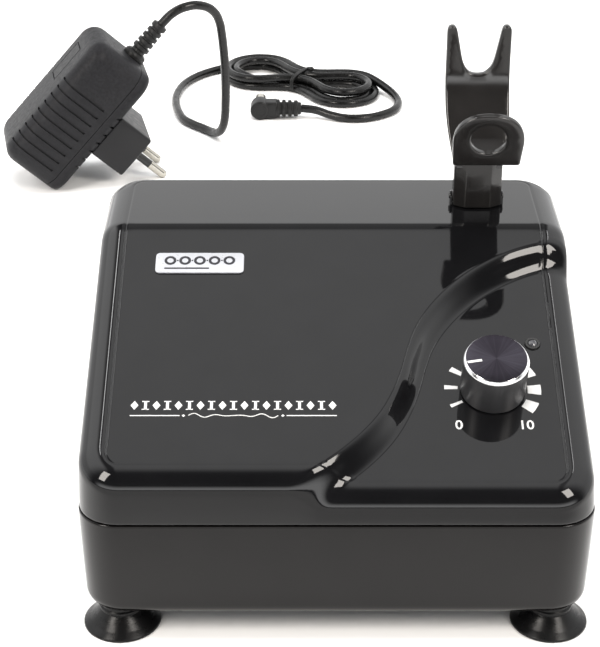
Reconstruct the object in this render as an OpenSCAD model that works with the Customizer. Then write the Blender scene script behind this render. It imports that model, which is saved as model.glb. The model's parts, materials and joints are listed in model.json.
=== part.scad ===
// Desktop airbrush compressor: a two-shell case on suction feet, a motor speed
// knob, a fold-back airbrush holder, a small motor and diaphragm pump inside,
// and a plug-in mains adapter with its lead.  Millimetres, +Z up, the rear
// outlet on +Y.  The origin is under the middle of the compressor's own box.

/* [Case] */
// Width of the case at the seam
case_w = 150; // [149:0.5:151]
// Depth of the case, front to back
case_d = 136; // [135:0.5:137]
// Height of the case's underside above the surface
case_bottom_z = 9; // [9:0.1:9.2]
// Height of the seam between the two shells
seam_z = 41.5; // [41:0.5:42]
// Height where the sloping panel meets the front wall
front_z = 56.5; // [56:0.5:57]
// Height of the rear deck
deck_z = 92; // [91:0.5:93]
// Distance from the front wall to the bend between panel and deck
bend_y = 94.5; // [93:0.5:96]
// Radius of the upright corners
corner_r = 12; // [11:0.5:13]
// Radius along the top edges
edge_r = 5; // [4.5:0.5:6]
// Radius along the bottom edge
bottom_r = 4; // [3:0.5:5]
// Wall thickness of both shells
wall = 2.5; // [2.2:0.1:2.8]
// Depth of the control area below the main panel
step_drop = 5.5; // [5:0.1:6]

/* [Feet] */
// Radius of a suction cup's rim
cup_r = 11.6; // [11:0.1:12]
// Distance of a cup's centre from the case's centre line
cup_x = 64; // [62:0.5:65]
// Distance of a cup's centre from the front or rear wall
cup_y = 11; // [11:0.5:13]

/* [Control knob] */
// Distance of the knob from the case's centre line
knob_x = 46.6; // [45:0.1:48]
// Distance of the knob from the front wall, in plan
knob_y = 37.6; // [36:0.1:39]
// Radius of the knob
knob_r = 9.5; // [9:0.1:10]
// Height of the knob's face above the panel
knob_h = 14.2; // [13.5:0.1:15]
// Radius of the control shaft
shaft_r = 3; // [3:0.01:3.01]

/* [Airbrush holder] */
// Distance of the holder from the case's centre line
holder_x = 47; // [46:0.5:48]
// Distance of the hinge pin from the front wall
hinge_y = 113; // [112:0.5:114]
// Height of the hinge pin above the deck
hinge_h = 2.3; // [2.3:0.1:2.6]
// Radius of the hinge pin
hinge_r = 1; // [0.9:0.05:1]
// Thickness of the holder's plates
plate_t = 3; // [2.8:0.1:3.2]
// Radius of the eye that an airbrush is pushed through
eye_r = 5.5; // [5:0.1:6]

/* [Connections] */
// Outer radius of the air outlet's male thread, one-eighth inch pipe
outlet_r = 4.86; // [4.8:0.01:4.9]
// Length of the outlet's thread
outlet_len = 8.6; // [8:0.1:9]
// Bore radius of the low-voltage socket
jack_bore_r = 2.85; // [2.8:0.05:2.9]

/* [Adapter and lead] */
// Length of the adapter's body
adapter_l = 70; // [68:1:72]
// Width of the adapter's body
adapter_w = 38; // [37:1:40]
// Thickness of the adapter's body
adapter_t = 32; // [31:1:33]
// Radius of a mains pin
pin_r = 2; // [1.9:0.05:2]
// Radius of the low-voltage lead
lead_r = 2.1; // [2:0.05:2.2]

/* [Hidden] */
$fn = 48;

// how far the outlet stands out behind, and the cups in front
outlet_out = 4 + outlet_len;
cup_over = cup_r - cup_y;
yf = -(outlet_out - cup_over) / 2 - case_d / 2;
yr = yf + case_d;
ym = (yf + yr) / 2;
tilt = atan2(deck_z - front_z, bend_y);
// half widths: at the seam, at the top and at the underside
hw = case_w / 2;
hw_top = hw - 0.8;
hw_bot = hw - 0.7;
seam_gap = 0.3;
foot_ys = [yf + cup_y, yr - cup_y];
screw_xs = [-50, 50];
screw_ys = [yf + 12, yr - 12];

// plan curve of the step between main panel and control area
STEP = [[-12, -78], [-6, -74], [0, -70], [6, -65.5], [12, -59], [16.5, -52], [19.8, -44],
    [22.2, -36], [24.4, -28], [27.4, -20], [32, -12.5], [38, -5.5], [45.5, 1], [55, 6.8],
    [65, 10.6], [76, 12.6], [90, 14]];

// ---- curves and swept tubes ----
function unit(v) = v / norm(v);
function cr_point(a, b, c, d, t) =
    ((2 * b) + (c - a) * t + (2 * a - 5 * b + 4 * c - d) * t * t
        + (3 * b - a - 3 * c + d) * t * t * t) / 2;
function smooth_path(p, n) = concat([for (i = [0 : len(p) - 2], j = [0 : n - 1])
    cr_point(p[max(i - 1, 0)], p[i], p[i + 1], p[min(i + 2, len(p) - 1)], j / n)],
    [p[len(p) - 1]]);
function tangents(p) = [for (i = [0 : len(p) - 1])
    unit(p[min(i + 1, len(p) - 1)] - p[max(i - 1, 0)])];
function carry(t, u, i) = i >= len(t) ? [] :
    let (v = unit(u - (u * t[i]) * t[i])) concat([v], carry(t, v, i + 1));
// a round tube along p: one closed surface with flat ends
module tube(p, r, sides = 8) {
    t = tangents(p);
    u = carry(t, abs(t[0][2]) < 0.9 ? [0, 0, 1] : [0, 1, 0], 0);
    n = len(p);
    pts = [for (i = [0 : n - 1], k = [0 : sides - 1])
        p[i] + r * (cos(360 * k / sides) * u[i] + sin(360 * k / sides) * cross(t[i], u[i]))];
    quads = [for (i = [0 : n - 2], k = [0 : sides - 1])
        let (a = i * sides + k, b = i * sides + (k + 1) % sides) [a, a + sides, b + sides, b]];
    polyhedron(pts, concat([for (f = quads) [f[0], f[1], f[2]]],
        [for (f = quads) [f[0], f[2], f[3]]],
        [[for (k = [0 : sides - 1]) k]],
        [[for (k = [0 : sides - 1]) (n * sides - 1 - k)]]), 4);
}

// ---- places ----
// on the main panel (off = 0) or the control area (off = -step_drop)
function panel_z(y, off) = front_z + (y - yf) * tan(tilt) + off / cos(tilt);
module on_panel(x, y, off) translate([x, y, panel_z(y, off)]) rotate([tilt, 0, 0]) children();
module at_knob() on_panel(knob_x, yf + knob_y, -step_drop) children();
module at_led() on_panel(60, yf + 54.1, -step_drop) children();

// ---- shared shapes ----
module disc_edge(r, e, k) rotate_extrude($fn = 40) translate([r - e, 0]) circle(k, $fn = 28);
module rounded_plate(w, d, r, h) {
    translate([-w / 2 + r, -d / 2, 0]) cube([w - 2 * r, d, h]);
    translate([-w / 2, -d / 2 + r, 0]) cube([w, d - 2 * r, h]);
    for (sx = [-1, 1], sy = [-1, 1])
        translate([sx * (w / 2 - r), sy * (d / 2 - r), 0]) cylinder(r = r, h = h);
}
// outside of the top shell, set in by g
module top_form(g) {
    zc = -edge_r / cos(tilt);
    yb = yf + (deck_z - edge_r - front_z - zc) / tan(tilt);
    hull() {
        for (sx = [-1, 1]) {
            for (y = [yf + corner_r, yr - corner_r])
                translate([sx * (hw - 0.3 - corner_r), y, seam_z + seam_gap / 3 - (g > 0 ? 2 : 0)])
                    cylinder(r = corner_r - g, h = 1, $fn = 40);
            translate([sx * (hw_top - corner_r), yr - 0.5 - corner_r, deck_z - edge_r])
                disc_edge(corner_r, edge_r, edge_r - g);
            translate([sx * (hw_top - corner_r), yf + 0.3 + corner_r,
                front_z + (0.3 + corner_r) * tan(tilt) + zc])
                rotate([tilt, 0, 0]) disc_edge(corner_r, edge_r, edge_r - g);
            translate([sx * (hw_top - edge_r), yb, deck_z - edge_r]) sphere(edge_r - g, $fn = 32);
        }
    }
}
// everything above the control area, with g of wall left round it
module step_zone(g) intersection() {
    translate([-0.9 * g, 0.6 * g, 0]) linear_extrude(160)
        polygon(concat(smooth_path(STEP, 3), [[110, 14], [110, -110], [-12, -110]]));
    translate([0, yf, front_z - (step_drop + g) / cos(tilt)]) rotate([tilt, 0, 0])
        translate([-120, -40, 0]) cube([240, 190, 70]);
}
module top_skin(g) difference() {
    top_form(g);
    step_zone(g);
}
module bottom_form(g) hull() for (sx = [-1, 1], sy = [-1, 1]) {
    translate([sx * (hw - corner_r), ym + sy * (case_d / 2 - corner_r), seam_z - 1 - seam_gap / 3])
        cylinder(r = corner_r - g, h = 1 + (g > 0 ? 2 : 0), $fn = 40);
    translate([sx * (hw_bot - corner_r), ym + sy * (case_d / 2 - 0.7 - corner_r),
        case_bottom_z + bottom_r])
        disc_edge(corner_r, bottom_r, bottom_r - g);
}
module screw(r, len, head_r, head_h) {
    cylinder(r = r, h = len);
    translate([0, 0, -head_h]) difference() {
        cylinder(r = head_r, h = head_h);
        translate([-head_r, -0.4, -0.1]) cube([2 * head_r, 0.8, 0.8]);
        translate([-0.4, -head_r, -0.1]) cube([0.8, 2 * head_r, 0.8]);
    }
}

// ---- case ----
module top_case() color("#202022") difference() {
    union() {
        difference() {
            top_skin(0);
            top_skin(wall);
        }
        // screw posts
        for (x = screw_xs, y = screw_ys) {
            top = y > 0 ? deck_z - wall + 1 : panel_z(y, x > 0 ? -step_drop : 0) - wall + 0.4;
            translate([x, y, seam_z - 3.5]) cylinder(r = 4, h = top - seam_z + 3.5);
        }
        // hinge ears of the holder
        for (sx = [-1, 1]) translate([holder_x + sx * 9 - 0.9, yf + hinge_y, 0]) {
            translate([0, 0, deck_z + hinge_h]) rotate([0, 90, 0]) cylinder(r = 2.2, h = 1.8);
            translate([0, -2.2, deck_z - 1]) cube([1.8, 4.4, hinge_h + 1]);
        }
    }
    for (x = screw_xs, y = screw_ys) translate([x, y, seam_z - 4]) cylinder(r = 1.3, h = 10);
    at_knob() translate([0, 0, -8]) cylinder(r = 3.6, h = 16);
    at_led() translate([0, 0, -8]) cylinder(r = 2, h = 16);
    translate([holder_x - 12, yf + hinge_y, deck_z + hinge_h]) rotate([0, 90, 0])
        cylinder(r = hinge_r, h = 24);
}

module bottom_case() color("#1d1d1f") difference() {
    union() {
        difference() {
            bottom_form(0);
            bottom_form(wall);
        }
        // lip that locates the top shell
        translate([0, ym, seam_z - 3]) difference() {
            rounded_plate(case_w - 6, case_d - 6, corner_r - 3, 4.2);
            translate([0, 0, -1]) rounded_plate(case_w - 8.4, case_d - 8.4, corner_r - 4.2, 7);
        }
        translate([0, ym, seam_z - 3]) difference() {
            rounded_plate(case_w - 4, case_d - 4, corner_r - 2, 1.5);
            translate([0, 0, -1]) rounded_plate(case_w - 8.4, case_d - 8.4, corner_r - 4.2, 7);
        }
        for (x = screw_xs, y = screw_ys)
            translate([x, y, case_bottom_z + 1]) cylinder(r = 4.5, h = seam_z - 3.6 - case_bottom_z - 1);
        for (x = [-42, 24], y = [-4, 32])
            translate([x, y, case_bottom_z + 1]) cylinder(r = 4, h = 4.5);
        for (x = [-22, 32], y = [-59, -39])
            translate([x, y, case_bottom_z + 1]) cylinder(r = 3, h = 5);
    }
    for (x = screw_xs, y = screw_ys) translate([x, y, case_bottom_z - 1]) {
        cylinder(r = 3.2, h = 22);
        cylinder(r = 1.7, h = 60);
    }
    for (x = [-42, 24], y = [-4, 32]) translate([x, y, case_bottom_z + 2]) cylinder(r = 1.3, h = 10);
    for (x = [-22, 32], y = [-59, -39]) translate([x, y, case_bottom_z + 2]) cylinder(r = 1, h = 10);
    for (sx = [-1, 1], y = foot_ys)
        translate([sx * cup_x, y, case_bottom_z - 1]) cylinder(r = 3.05, h = 6);
    translate([25, yr - 8, 30]) rotate([-90, 0, 0]) cylinder(r = 5, h = 16);
    translate([-25, yr - 8, 28]) rotate([-90, 0, 0]) cylinder(r = 5.6, h = 16);
    for (i = [0 : 5]) translate([-12 + i * 6, -26, case_bottom_z - 1]) cube([2.4, 14, 6]);
}

module badge() color("#d9dadb") on_panel(-42.2, yf + 79.6, 0)
    rounded_plate(28, 9.1, 1.6, 0.9);

module front_print() color("#e6e6e6") on_panel(-30, yf + 22.5, 0) {
    translate([-30, 4.4, 0]) cube([60, 0.7, 0.1]);
    for (i = [-4 : 4]) translate([i * 6.4, 2.2, 0]) rotate(45) translate([-0.8, -0.8, 0])
        cube([1.6, 1.6, 0.1]);
    for (s = [-30, 15.5]) translate([s, -0.6, 0]) cube([14.5, 0.4, 0.1]);
}

function sector(r0, r1, a0, a1) = concat(
    [for (i = [0 : 4]) let (a = a0 + (a1 - a0) * i / 4) r1 * [cos(a), sin(a)]],
    [for (i = [4 : -1 : 0]) let (a = a0 + (a1 - a0) * i / 4) r0 * [cos(a), sin(a)]]);
module dial_scale() color("#e6e6e6") at_knob() {
    for (i = [0 : 8]) {
        a = 207 - i * 29.75;
        half = (0.5 + i * 0.17) / 12.4 * 57.3;
        linear_extrude(0.1) polygon(sector(10.4, 14.4, a - half, a + half));
    }
    // a nought at the low end and a ten at the high end
    translate([-10.8, -13.7, 0]) difference() {
        cylinder(r = 1.7, h = 0.1);
        translate([0, 0, -1]) cylinder(r = 1.1, h = 3);
    }
    translate([9.4, -13.7, 0]) difference() {
        cylinder(r = 1.7, h = 0.1);
        translate([0, 0, -1]) cylinder(r = 1.1, h = 3);
    }
    translate([6.2, -15.4, 0]) cube([0.7, 3.4, 0.1]);
}

module case_screws() color("#8a8c90") for (x = screw_xs, y = screw_ys)
    translate([x, y, case_bottom_z + 21]) screw(1.25, 16, 2.8, 2.2);

module suction_feet() color("#161617") for (sx = [-1, 1], y = foot_ys)
    translate([sx * cup_x, y, 0]) rotate_extrude() polygon([[0, 4.2], [4, 3.8], [8, 2],
        [cup_r - 1, 0], [cup_r, 0], [cup_r, 0.9], [8.2, 4], [6.4, 5.4], [6, 6.6],
        [6, case_bottom_z - 0.05], [3, case_bottom_z - 0.05], [3, case_bottom_z + wall + 0.05],
        [4.6, case_bottom_z + wall + 0.05], [4, case_bottom_z + wall + 2], [0, case_bottom_z + wall + 2]]);

// ---- control ----
module knob() color("#2c2c30") at_knob() rotate_extrude() polygon([[4.5, 4.6], [7, 4.6], [7, 0.6],
    [knob_r, 0.6], [knob_r, knob_h - 0.7], [knob_r - 0.7, knob_h], [0, knob_h], [0, 12],
    [4.5, 12]]);
module knob_pointer() color("#ededed") at_knob() rotate(190) translate([4.4, -0.42, knob_h])
    cube([4.3, 0.84, 0.08]);
module knob_insert() color("#b08d4a") at_knob() translate([0, 0, 4.6]) difference() {
    cylinder(r = 4.5, h = 7.2);
    translate([0, 0, -1]) cylinder(r = shaft_r, h = 10);
}
module pot_shaft() color("#b9bbbe") at_knob() translate([0, 0, -9.4]) cylinder(r = shaft_r, h = 20.6);
module pot_body() color("#8f8a6c") at_knob() difference() {
    union() {
        translate([0, 0, -wall - 8.6]) cylinder(r = 8.4, h = 8.4);
        translate([0, 0, -wall - 0.4]) cylinder(r = 3.5, h = wall + 3.6);
        translate([-6.5, -13, -wall - 7.5]) cube([13, 6, 1.4]);
    }
    translate([0, 0, -9.5]) cylinder(r = shaft_r + 0.05, h = 16);
}
module pot_nut() color("#c4c6c8") at_knob() {
    difference() {
        cylinder(r = 6, h = 0.5);
        translate([0, 0, -1]) cylinder(r = 3.6, h = 3);
    }
    translate([0, 0, 0.55]) difference() {
        cylinder(r = 5.7, h = 2, $fn = 6);
        translate([0, 0, -1]) cylinder(r = 3.55, h = 4);
    }
}
module led() color("#d8d2c0") at_led() rotate_extrude() polygon([[0, -5.5], [1.9, -5.5],
    [1.9, -4.6], [1.5, -4.6], [1.5, 0.2], [1.2, 0.7], [0.7, 0.95], [0, 1]]);
module led_bezel() color("#39393c") at_led() rotate_extrude() polygon([[1.55, -3.6], [1.95, -3.6],
    [1.95, 0.05], [2.3, 0.05], [2.2, 0.5], [1.55, 0.5]]);

// ---- electronics ----
module circuit_board() color("#1f5a35") difference() {
    translate([-26, -62, case_bottom_z + 6]) cube([62, 26, 1.6]);
    for (x = [-22, 32], y = [-59, -39]) translate([x, y, 10]) cylinder(r = 1.3, h = 12);
}
module board_screws() color("#8a8c90") for (x = [-22, 32], y = [-59, -39])
    translate([x, y, case_bottom_z + 7.65]) rotate([180, 0, 0]) screw(0.95, 5, 1.9, 1.4);
module smoothing_capacitor() color("#22345c") translate([-8, -49, case_bottom_z + 7.6])
    cylinder(r = 5, h = 14);
module power_transistor() color("#1c1c1c") translate([10, -44, case_bottom_z + 7.6]) {
    translate([0, 0, 3]) cube([10, 4.4, 9]);
    translate([0, 4.4, 3]) cube([10, 1.3, 15]);
    for (i = [0 : 2]) translate([2 + i * 2.6, 1.5, 0]) cube([0.8, 0.8, 3.2]);
}
module dc_jack() color("#161617") translate([-25, 0, 28]) rotate([-90, 0, 0]) difference() {
    union() {
        translate([0, 0, yr - 15]) cylinder(r = 5.5, h = 15);
        translate([0, 0, yr]) cylinder(r = 7, h = 1.5);
    }
    translate([0, 0, yr - 8.5]) cylinder(r = jack_bore_r, h = 12);
    translate([0, 0, yr - 12]) cylinder(r = 1, h = 8);
}
module jack_pin() color("#c9b36a") translate([-25, 0, 28]) rotate([-90, 0, 0])
    translate([0, 0, yr - 12]) cylinder(r = 1, h = 12);
module jack_nut() color("#c4c6c8") translate([-25, 0, 28]) rotate([-90, 0, 0])
    translate([0, 0, yr - 5.6]) difference() {
        cylinder(r = 8, h = 2.2, $fn = 6);
        translate([0, 0, -1]) cylinder(r = 5.55, h = 5);
    }

// ---- air outlet ----
module outlet_fitting() color("#c7a45a") translate([25, 0, 30]) rotate([-90, 0, 0]) difference() {
    union() {
        translate([0, 0, yr]) cylinder(r = 8, h = 4, $fn = 6);
        translate([0, 0, yr + 4]) cylinder(r = outlet_r, h = outlet_len);
        translate([0, 0, yr - 7]) cylinder(r = 4.8, h = 7);
        translate([0, 0, yr - 15]) cylinder(r = 2.2, h = 8);
    }
    translate([0, 0, yr - 16]) cylinder(r = 1.3, h = 30);
    translate([0, 0, yr + outlet_out - 3]) cylinder(r = 3.2, h = 6);
}
module outlet_nut() color("#c7a45a") translate([25, 0, 30]) rotate([-90, 0, 0])
    translate([0, 0, yr - 6]) difference() {
        cylinder(r = 7.5, h = 2.6, $fn = 6);
        translate([0, 0, -1]) cylinder(r = 4.85, h = 5);
    }
HOSE = [[15, 32, 70.5], [15, 38, 70.5], [15.5, 45, 68.5], [17, 49, 62], [20, 48.5, 53],
    [23, 44, 44], [24.6, 40, 37], [25, 40, 32], [25, 44, 30], [25, 49, 30], [25, 54, 30]];
module outlet_hose() color("#cfd3d2") tube(smooth_path(HOSE, 2), 3);
module inlet_filter() color("#e2ddcf") translate([2, 33, 70.5]) rotate([-90, 0, 0]) difference() {
    union() {
        cylinder(r = 3.4, h = 6);
        translate([0, 0, 5]) cylinder(r = 6.5, h = 15);
    }
    translate([0, 0, -1]) cylinder(r = 2.3, h = 9);
    for (a = [0 : 60 : 300]) rotate(a) translate([4.2, 0, 14]) cylinder(r = 0.7, h = 8);
}

// ---- motor, its axis along X ----
my = 14;
mz = 40;
module on_axis(x) translate([x, my, mz]) rotate([0, 90, 0]) children();
module motor_can() color("#b4b6b9") difference() {
    union() {
        on_axis(-46) cylinder(r = 13.85, h = 38);
        on_axis(-8.5) cylinder(r = 4.5, h = 2);
    }
    on_axis(-47) cylinder(r = 12.85, h = 38);
    on_axis(-12) cylinder(r = 3, h = 8);
    for (s = [-8, 8]) translate([-12, my, mz + s]) rotate([0, 90, 0]) cylinder(r = 1.3, h = 8);
}
module motor_end_cap() color("#1a1a1a") difference() {
    union() {
        on_axis(-48) cylinder(r = 13.85, h = 2);
        on_axis(-50) cylinder(r = 5, h = 3);
        on_axis(-46) cylinder(r = 12.8, h = 1.5);
        for (s = [-7, 7]) translate([-52, my + s - 1.4, mz - 0.4]) cube([5, 2.8, 0.8]);
    }
    on_axis(-49.5) cylinder(r = 3, h = 8);
}
module motor_bearings() color("#a5793f") for (x = [-49.5, -9.8]) difference() {
    on_axis(x) cylinder(r = 3, h = 3);
    on_axis(x - 1) cylinder(r = 1.2, h = 5);
}
module motor_shaft() color("#c9cbcd") on_axis(-49.4) cylinder(r = 1.15, h = 53);
module armature() color("#8c5a35") difference() {
    union() {
        on_axis(-38) cylinder(r = 10.2, h = 22);
        on_axis(-43.5) cylinder(r = 3.6, h = 5.5);
    }
    on_axis(-50) cylinder(r = 1.15, h = 60);
    for (a = [0 : 120 : 240]) translate([-39, my, mz]) rotate([a, 0, 0]) translate([0, -0.9, 7])
        cube([24, 1.8, 6]);
}
module motor_magnets() color("#3a3a3e") difference() {
    on_axis(-40) cylinder(r = 12.8, h = 26);
    on_axis(-41) cylinder(r = 10.8, h = 28);
    for (s = [-1, 1]) translate([-42, my + s * 13 - 9, mz - 5]) cube([30, 18, 10]);
}
module motor_screws() color("#8a8c90") for (s = [-8, 8])
    translate([-5, my, mz + s]) rotate([0, -90, 0]) screw(1.25, 4, 2.3, 1.6);

// ---- crank and pump, the bore centre at x = 8 ----
px = 8;
throw = 1.2;
module eccentric() color("#9ea1a4") difference() {
    union() {
        on_axis(-1.5) cylinder(r = 5.5, h = 5.6);
        difference() {
            on_axis(-1.5) cylinder(r = 9, h = 3);
            translate([-2, my, mz - 12]) cube([5, 14, 24]);
        }
        translate([4, my + throw, mz]) rotate([0, 90, 0]) cylinder(r = 2, h = 6.8);
    }
    on_axis(-3) cylinder(r = 1.15, h = 6.6);
}
module crank_bearing() color("#c9cbcd") translate([6, my + throw, mz]) rotate([0, 90, 0]) difference() {
    cylinder(r = 4.5, h = 4);
    translate([0, 0, -1]) cylinder(r = 2, h = 6);
}
// the ring is open round the bearing by twice the throw
module connecting_rod() color("#d7d2c4") difference() {
    union() {
        on_axis(6.2) cylinder(r = 9.5, h = 3.6);
        translate([6.2, my - 3, mz + 8]) cube([3.6, 6, 11]);
        translate([px, my, mz + 18]) cylinder(r = 6, h = 3.3);
    }
    on_axis(5) cylinder(r = 4.5 + 2 * throw + 0.1, h = 6);
}
module diaphragm() color("#26262a") translate([px, my, mz + 20]) difference() {
    cylinder(r = 15.5, h = 1.6);
    translate([0, 0, -1]) cylinder(r = 6.3, h = 4);
}
module pump_frame() color("#b9bcbf") difference() {
    translate([px - 16, my - 17, mz - 18]) cube([32, 34, 38]);
    translate([px - 13, my - 11, mz - 14]) cube([26, 22, 31]);
    translate([px, my, mz + 15]) cylinder(r = 12, h = 8);
    on_axis(px - 17) cylinder(r = 4.6, h = 6);
    for (s = [-8, 8]) translate([px - 17, my, mz + s]) rotate([0, 90, 0]) cylinder(r = 1.3, h = 5);
    for (sx = [-12.5, 12.5], sy = [-13.3, 13.3]) translate([px + sx, my + sy, mz + 6])
        cylinder(r = 1.55, h = 20);
    // room for the heads of the mounting screws
    for (y = [-4, 32]) translate([24, y, mz - 19]) cylinder(r = 3.4, h = 3.4);
}
module valve_plate() color("#cfd1d3") difference() {
    translate([px - 16, my - 17, mz + 21.6]) cube([32, 34, 4.4]);
    translate([px, my, mz + 20.6]) cylinder(r = 9, h = 3.4);
    for (x = [2, 15]) translate([x, my, mz + 20]) cylinder(r = 1.4, h = 8);
    for (sx = [-12.5, 12.5], sy = [-13.3, 13.3]) translate([px + sx, my + sy, mz + 18])
        cylinder(r = 1.55, h = 10);
}
module valve_flaps() color("#7a2f2a") for (x = [2, 15]) translate([x, my, mz + 26.05])
    cylinder(r = 3, h = 0.5);
module head_cover() color("#1f1f21") difference() {
    union() {
        translate([px - 16, my - 17, mz + 26.05]) cube([32, 34, 9]);
        for (x = [2, 15]) translate([x, my + 17, mz + 30.5]) rotate([-90, 0, 0])
            cylinder(r = 2.2, h = 8);
    }
    for (x = [2, 15]) {
        translate([x, my, mz + 25]) cylinder(r = 4, h = 6.5);
        translate([x, my, mz + 30.5]) rotate([-90, 0, 0]) cylinder(r = 1.2, h = 30);
    }
    for (sx = [-12.5, 12.5], sy = [-13.3, 13.3]) translate([px + sx, my + sy, mz + 20])
        cylinder(r = 1.55, h = 20);
}
module head_screws() color("#c4c6c8") for (sx = [-12.5, 12.5], sy = [-13.3, 13.3])
    translate([px + sx, my + sy, mz + 35.1]) rotate([180, 0, 0]) screw(1.5, 28, 2.8, 2);
module pump_bracket() color("#9ea1a4") difference() {
    translate([-48, -10, mz - 19.6]) cube([78, 48, 1.5]);
    for (x = [-42, 24], y = [-4, 32]) translate([x, y, 10]) cylinder(r = 1.8, h = 20);
}
module rubber_mounts() color("#26262a") for (x = [-42, 24], y = [-4, 32])
    translate([x, y, case_bottom_z + 5.55]) difference() {
        cylinder(r = 5, h = mz - 19.65 - case_bottom_z - 5.55);
        translate([0, 0, -1]) cylinder(r = 1.6, h = 14);
    }
module mount_screws() color("#8a8c90") for (x = [-42, 24], y = [-4, 32])
    translate([x, y, mz - 18.05]) rotate([180, 0, 0]) screw(1.25, 9.5, 3, 1.6);

// ---- airbrush holder, upright; it folds back about the hinge pin ----
FRONT = [[-7.8, 92.3], [7.8, 92.3], [7.8, 105], [8.7, 109], [9.9, 116], [10.4, 122], [10.4, 146],
    [10.1, 147], [9.4, 147.6], [8.4, 147.6], [7.6, 147], [7, 145.6], [5.6, 138.5], [5, 135.6],
    [4, 133.4], [2.6, 132], [0, 131.4], [-2.6, 132], [-4, 133.4], [-5, 135.6], [-5.6, 138.5],
    [-7, 145.6], [-7.6, 147], [-8.4, 147.6], [-9.4, 147.6], [-10.1, 147], [-10.4, 146],
    [-10.4, 122], [-9.9, 116], [-8.7, 109], [-7.8, 105]];
module holder() color("#2a2a2c") {
    hy = yf + hinge_y;
    hz = deck_z + hinge_h;
    lift = deck_z - 92;
    difference() {
        union() {
            // post: a folded front with two slanting sides
            translate([holder_x, hy, hz - 2]) linear_extrude(110 + lift - hz + 2)
                polygon([[-4, -6], [4, -6], [7.8, -3.6], [7.8, 0], [-7.8, 0], [-7.8, -3.6]]);
            translate([holder_x, hy, hz]) linear_extrude(110 + lift - hz)
                polygon([[-7.8, -1], [7.8, -1], [7.8, 2], [-7.8, 2]]);
            translate([holder_x - 7.8, hy, hz]) rotate([0, 90, 0]) cylinder(r = 2, h = 15.6);
            // strip that leans back and ends in the fork
            intersection() {
                translate([holder_x, 90, lift]) rotate([90, 0, 0]) linear_extrude(90)
                    polygon(FRONT);
                translate([holder_x - 15, hy - 39, lift]) rotate([90, 0, 90]) linear_extrude(30)
                    polygon([[35.5, 107], [38.5, 112], [46, 122], [50.4, 127.4], [51.6, 130.6],
                        [51.9, 135], [51.9, 148], [51.9 + plate_t, 148], [51.9 + plate_t, 134],
                        [54.4, 129], [52.8, 125.6], [48.4, 120], [41, 110], [41, 106]]);
            }
            // web out to the eye
            translate([holder_x - 7.8, hy - 39, lift]) rotate([90, 0, 90]) linear_extrude(15.6)
                polygon([[16.6, 113.4], [16.6, 116.4], [39, 114], [39, 110], [34, 108]]);
            translate([holder_x, hy - 39 + 16.3, 113.4 + lift]) rotate([15.6, 0, 0])
                translate([0, plate_t, 0]) rotate([90, 0, 0]) linear_extrude(plate_t) union() {
                    translate([-10.4, 0]) square([20.8, 9.5]);
                    translate([0, 9.5]) circle(10.4);
                }
        }
        translate([holder_x - 12, hy, hz]) rotate([0, 90, 0]) cylinder(r = hinge_r + 0.05, h = 24);
        translate([holder_x, hy - 39 + 16.3, 113.4 + lift]) rotate([15.6, 0, 0])
            translate([0, 12, 11]) rotate([90, 0, 0]) cylinder(r = eye_r, h = 24);
    }
}
module holder_pin() color("#3a3a3c") translate([holder_x - 9.95, yf + hinge_y, deck_z + hinge_h])
    rotate([0, 90, 0]) cylinder(r = hinge_r, h = 19.9);

// ---- wires inside the case ----
module wires() color("#a33b2e") {
    for (s = [0, 1]) {
        tube(smooth_path([[-53, my - 7 + 14 * s, 40], [-57, 9 + 6 * s, 39], [-60, 0, 34 - 4 * s],
            [-58, -16, 28 - 4 * s], [-48, -34, 21 - s], [-36, -43 - 3 * s, 18.2],
            [-22, -44 - 3 * s, 17.6]], 3), 0.7);
        tube(smooth_path([[-27 + 4 * s, 46.5, 28], [-29 + 3 * s, 43, 29], [-40, 41 + 3 * s, 31],
            [-56, 36, 31 + 3 * s], [-64, 18, 30 + 3 * s], [-65, -10, 26 + 3 * s],
            [-56, -36, 21 + 2 * s], [-42, -52 - 3 * s, 18.4], [-22, -52.4 - 2.6 * s, 17.6]], 3), 0.7);
    }
}

// ---- mains adapter: it leans on its pin tips and its far edge ----
// local axes: X to the lead end, -Z the way the pins point
plug_x = 37;
tip_z = -35;
pin_root = 2.6;
round_r = 3;
lean = atan2(round_r - tip_z, plug_x - round_r)
    - asin((round_r - pin_r) / norm([round_r - tip_z, plug_x - round_r]));
yaw = 12;
adapter_at = [-127.5, 273, round_r - round_r * (sin(lean) + cos(lean))];
exit_local = [adapter_l + 20, 3, 9];
function turned(p) = let (x = p[0] * cos(lean) - p[2] * sin(lean), z = p[0] * sin(lean) + p[2] * cos(lean))
    [x * cos(yaw) - p[1] * sin(yaw), x * sin(yaw) + p[1] * cos(yaw), z];
module at_adapter() translate(adapter_at) rotate([0, 0, yaw]) rotate([0, -lean, 0]) children();
module adapter_form(g) hull() for (x = [round_r, adapter_l - round_r - 2],
    y = [-adapter_w / 2 + round_r, adapter_w / 2 - round_r], z = [round_r, adapter_t - round_r])
    translate([x, y, z]) sphere(round_r - g, $fn = 24);
module adapter_shell() color("#28282a") at_adapter() {
    difference() {
        intersection() {
            adapter_form(0);
            translate([-5, -30, -1]) cube([90, 60, 7]);
        }
        translate([2, -adapter_w / 2 + 2, 2]) cube([adapter_l - 6, adapter_w - 4, 10]);
    }
}
module adapter_cover() color("#28282a") at_adapter() difference() {
    intersection() {
        adapter_form(0);
        translate([-5, -30, 6.15]) cube([90, 60, 40]);
    }
    translate([2, -adapter_w / 2 + 2, 5]) cube([adapter_l - 6, adapter_w - 4, adapter_t - 7]);
    for (i = [0 : 8]) translate([9 + i * 4.4, -adapter_w / 2 - 1, 8.5]) cube([0.9, 1.7, 15]);
    for (i = [0 : 6]) translate([26 + i * 4.4, 9, adapter_t - 0.7]) cube([0.9, 7, 2]);
}
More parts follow.
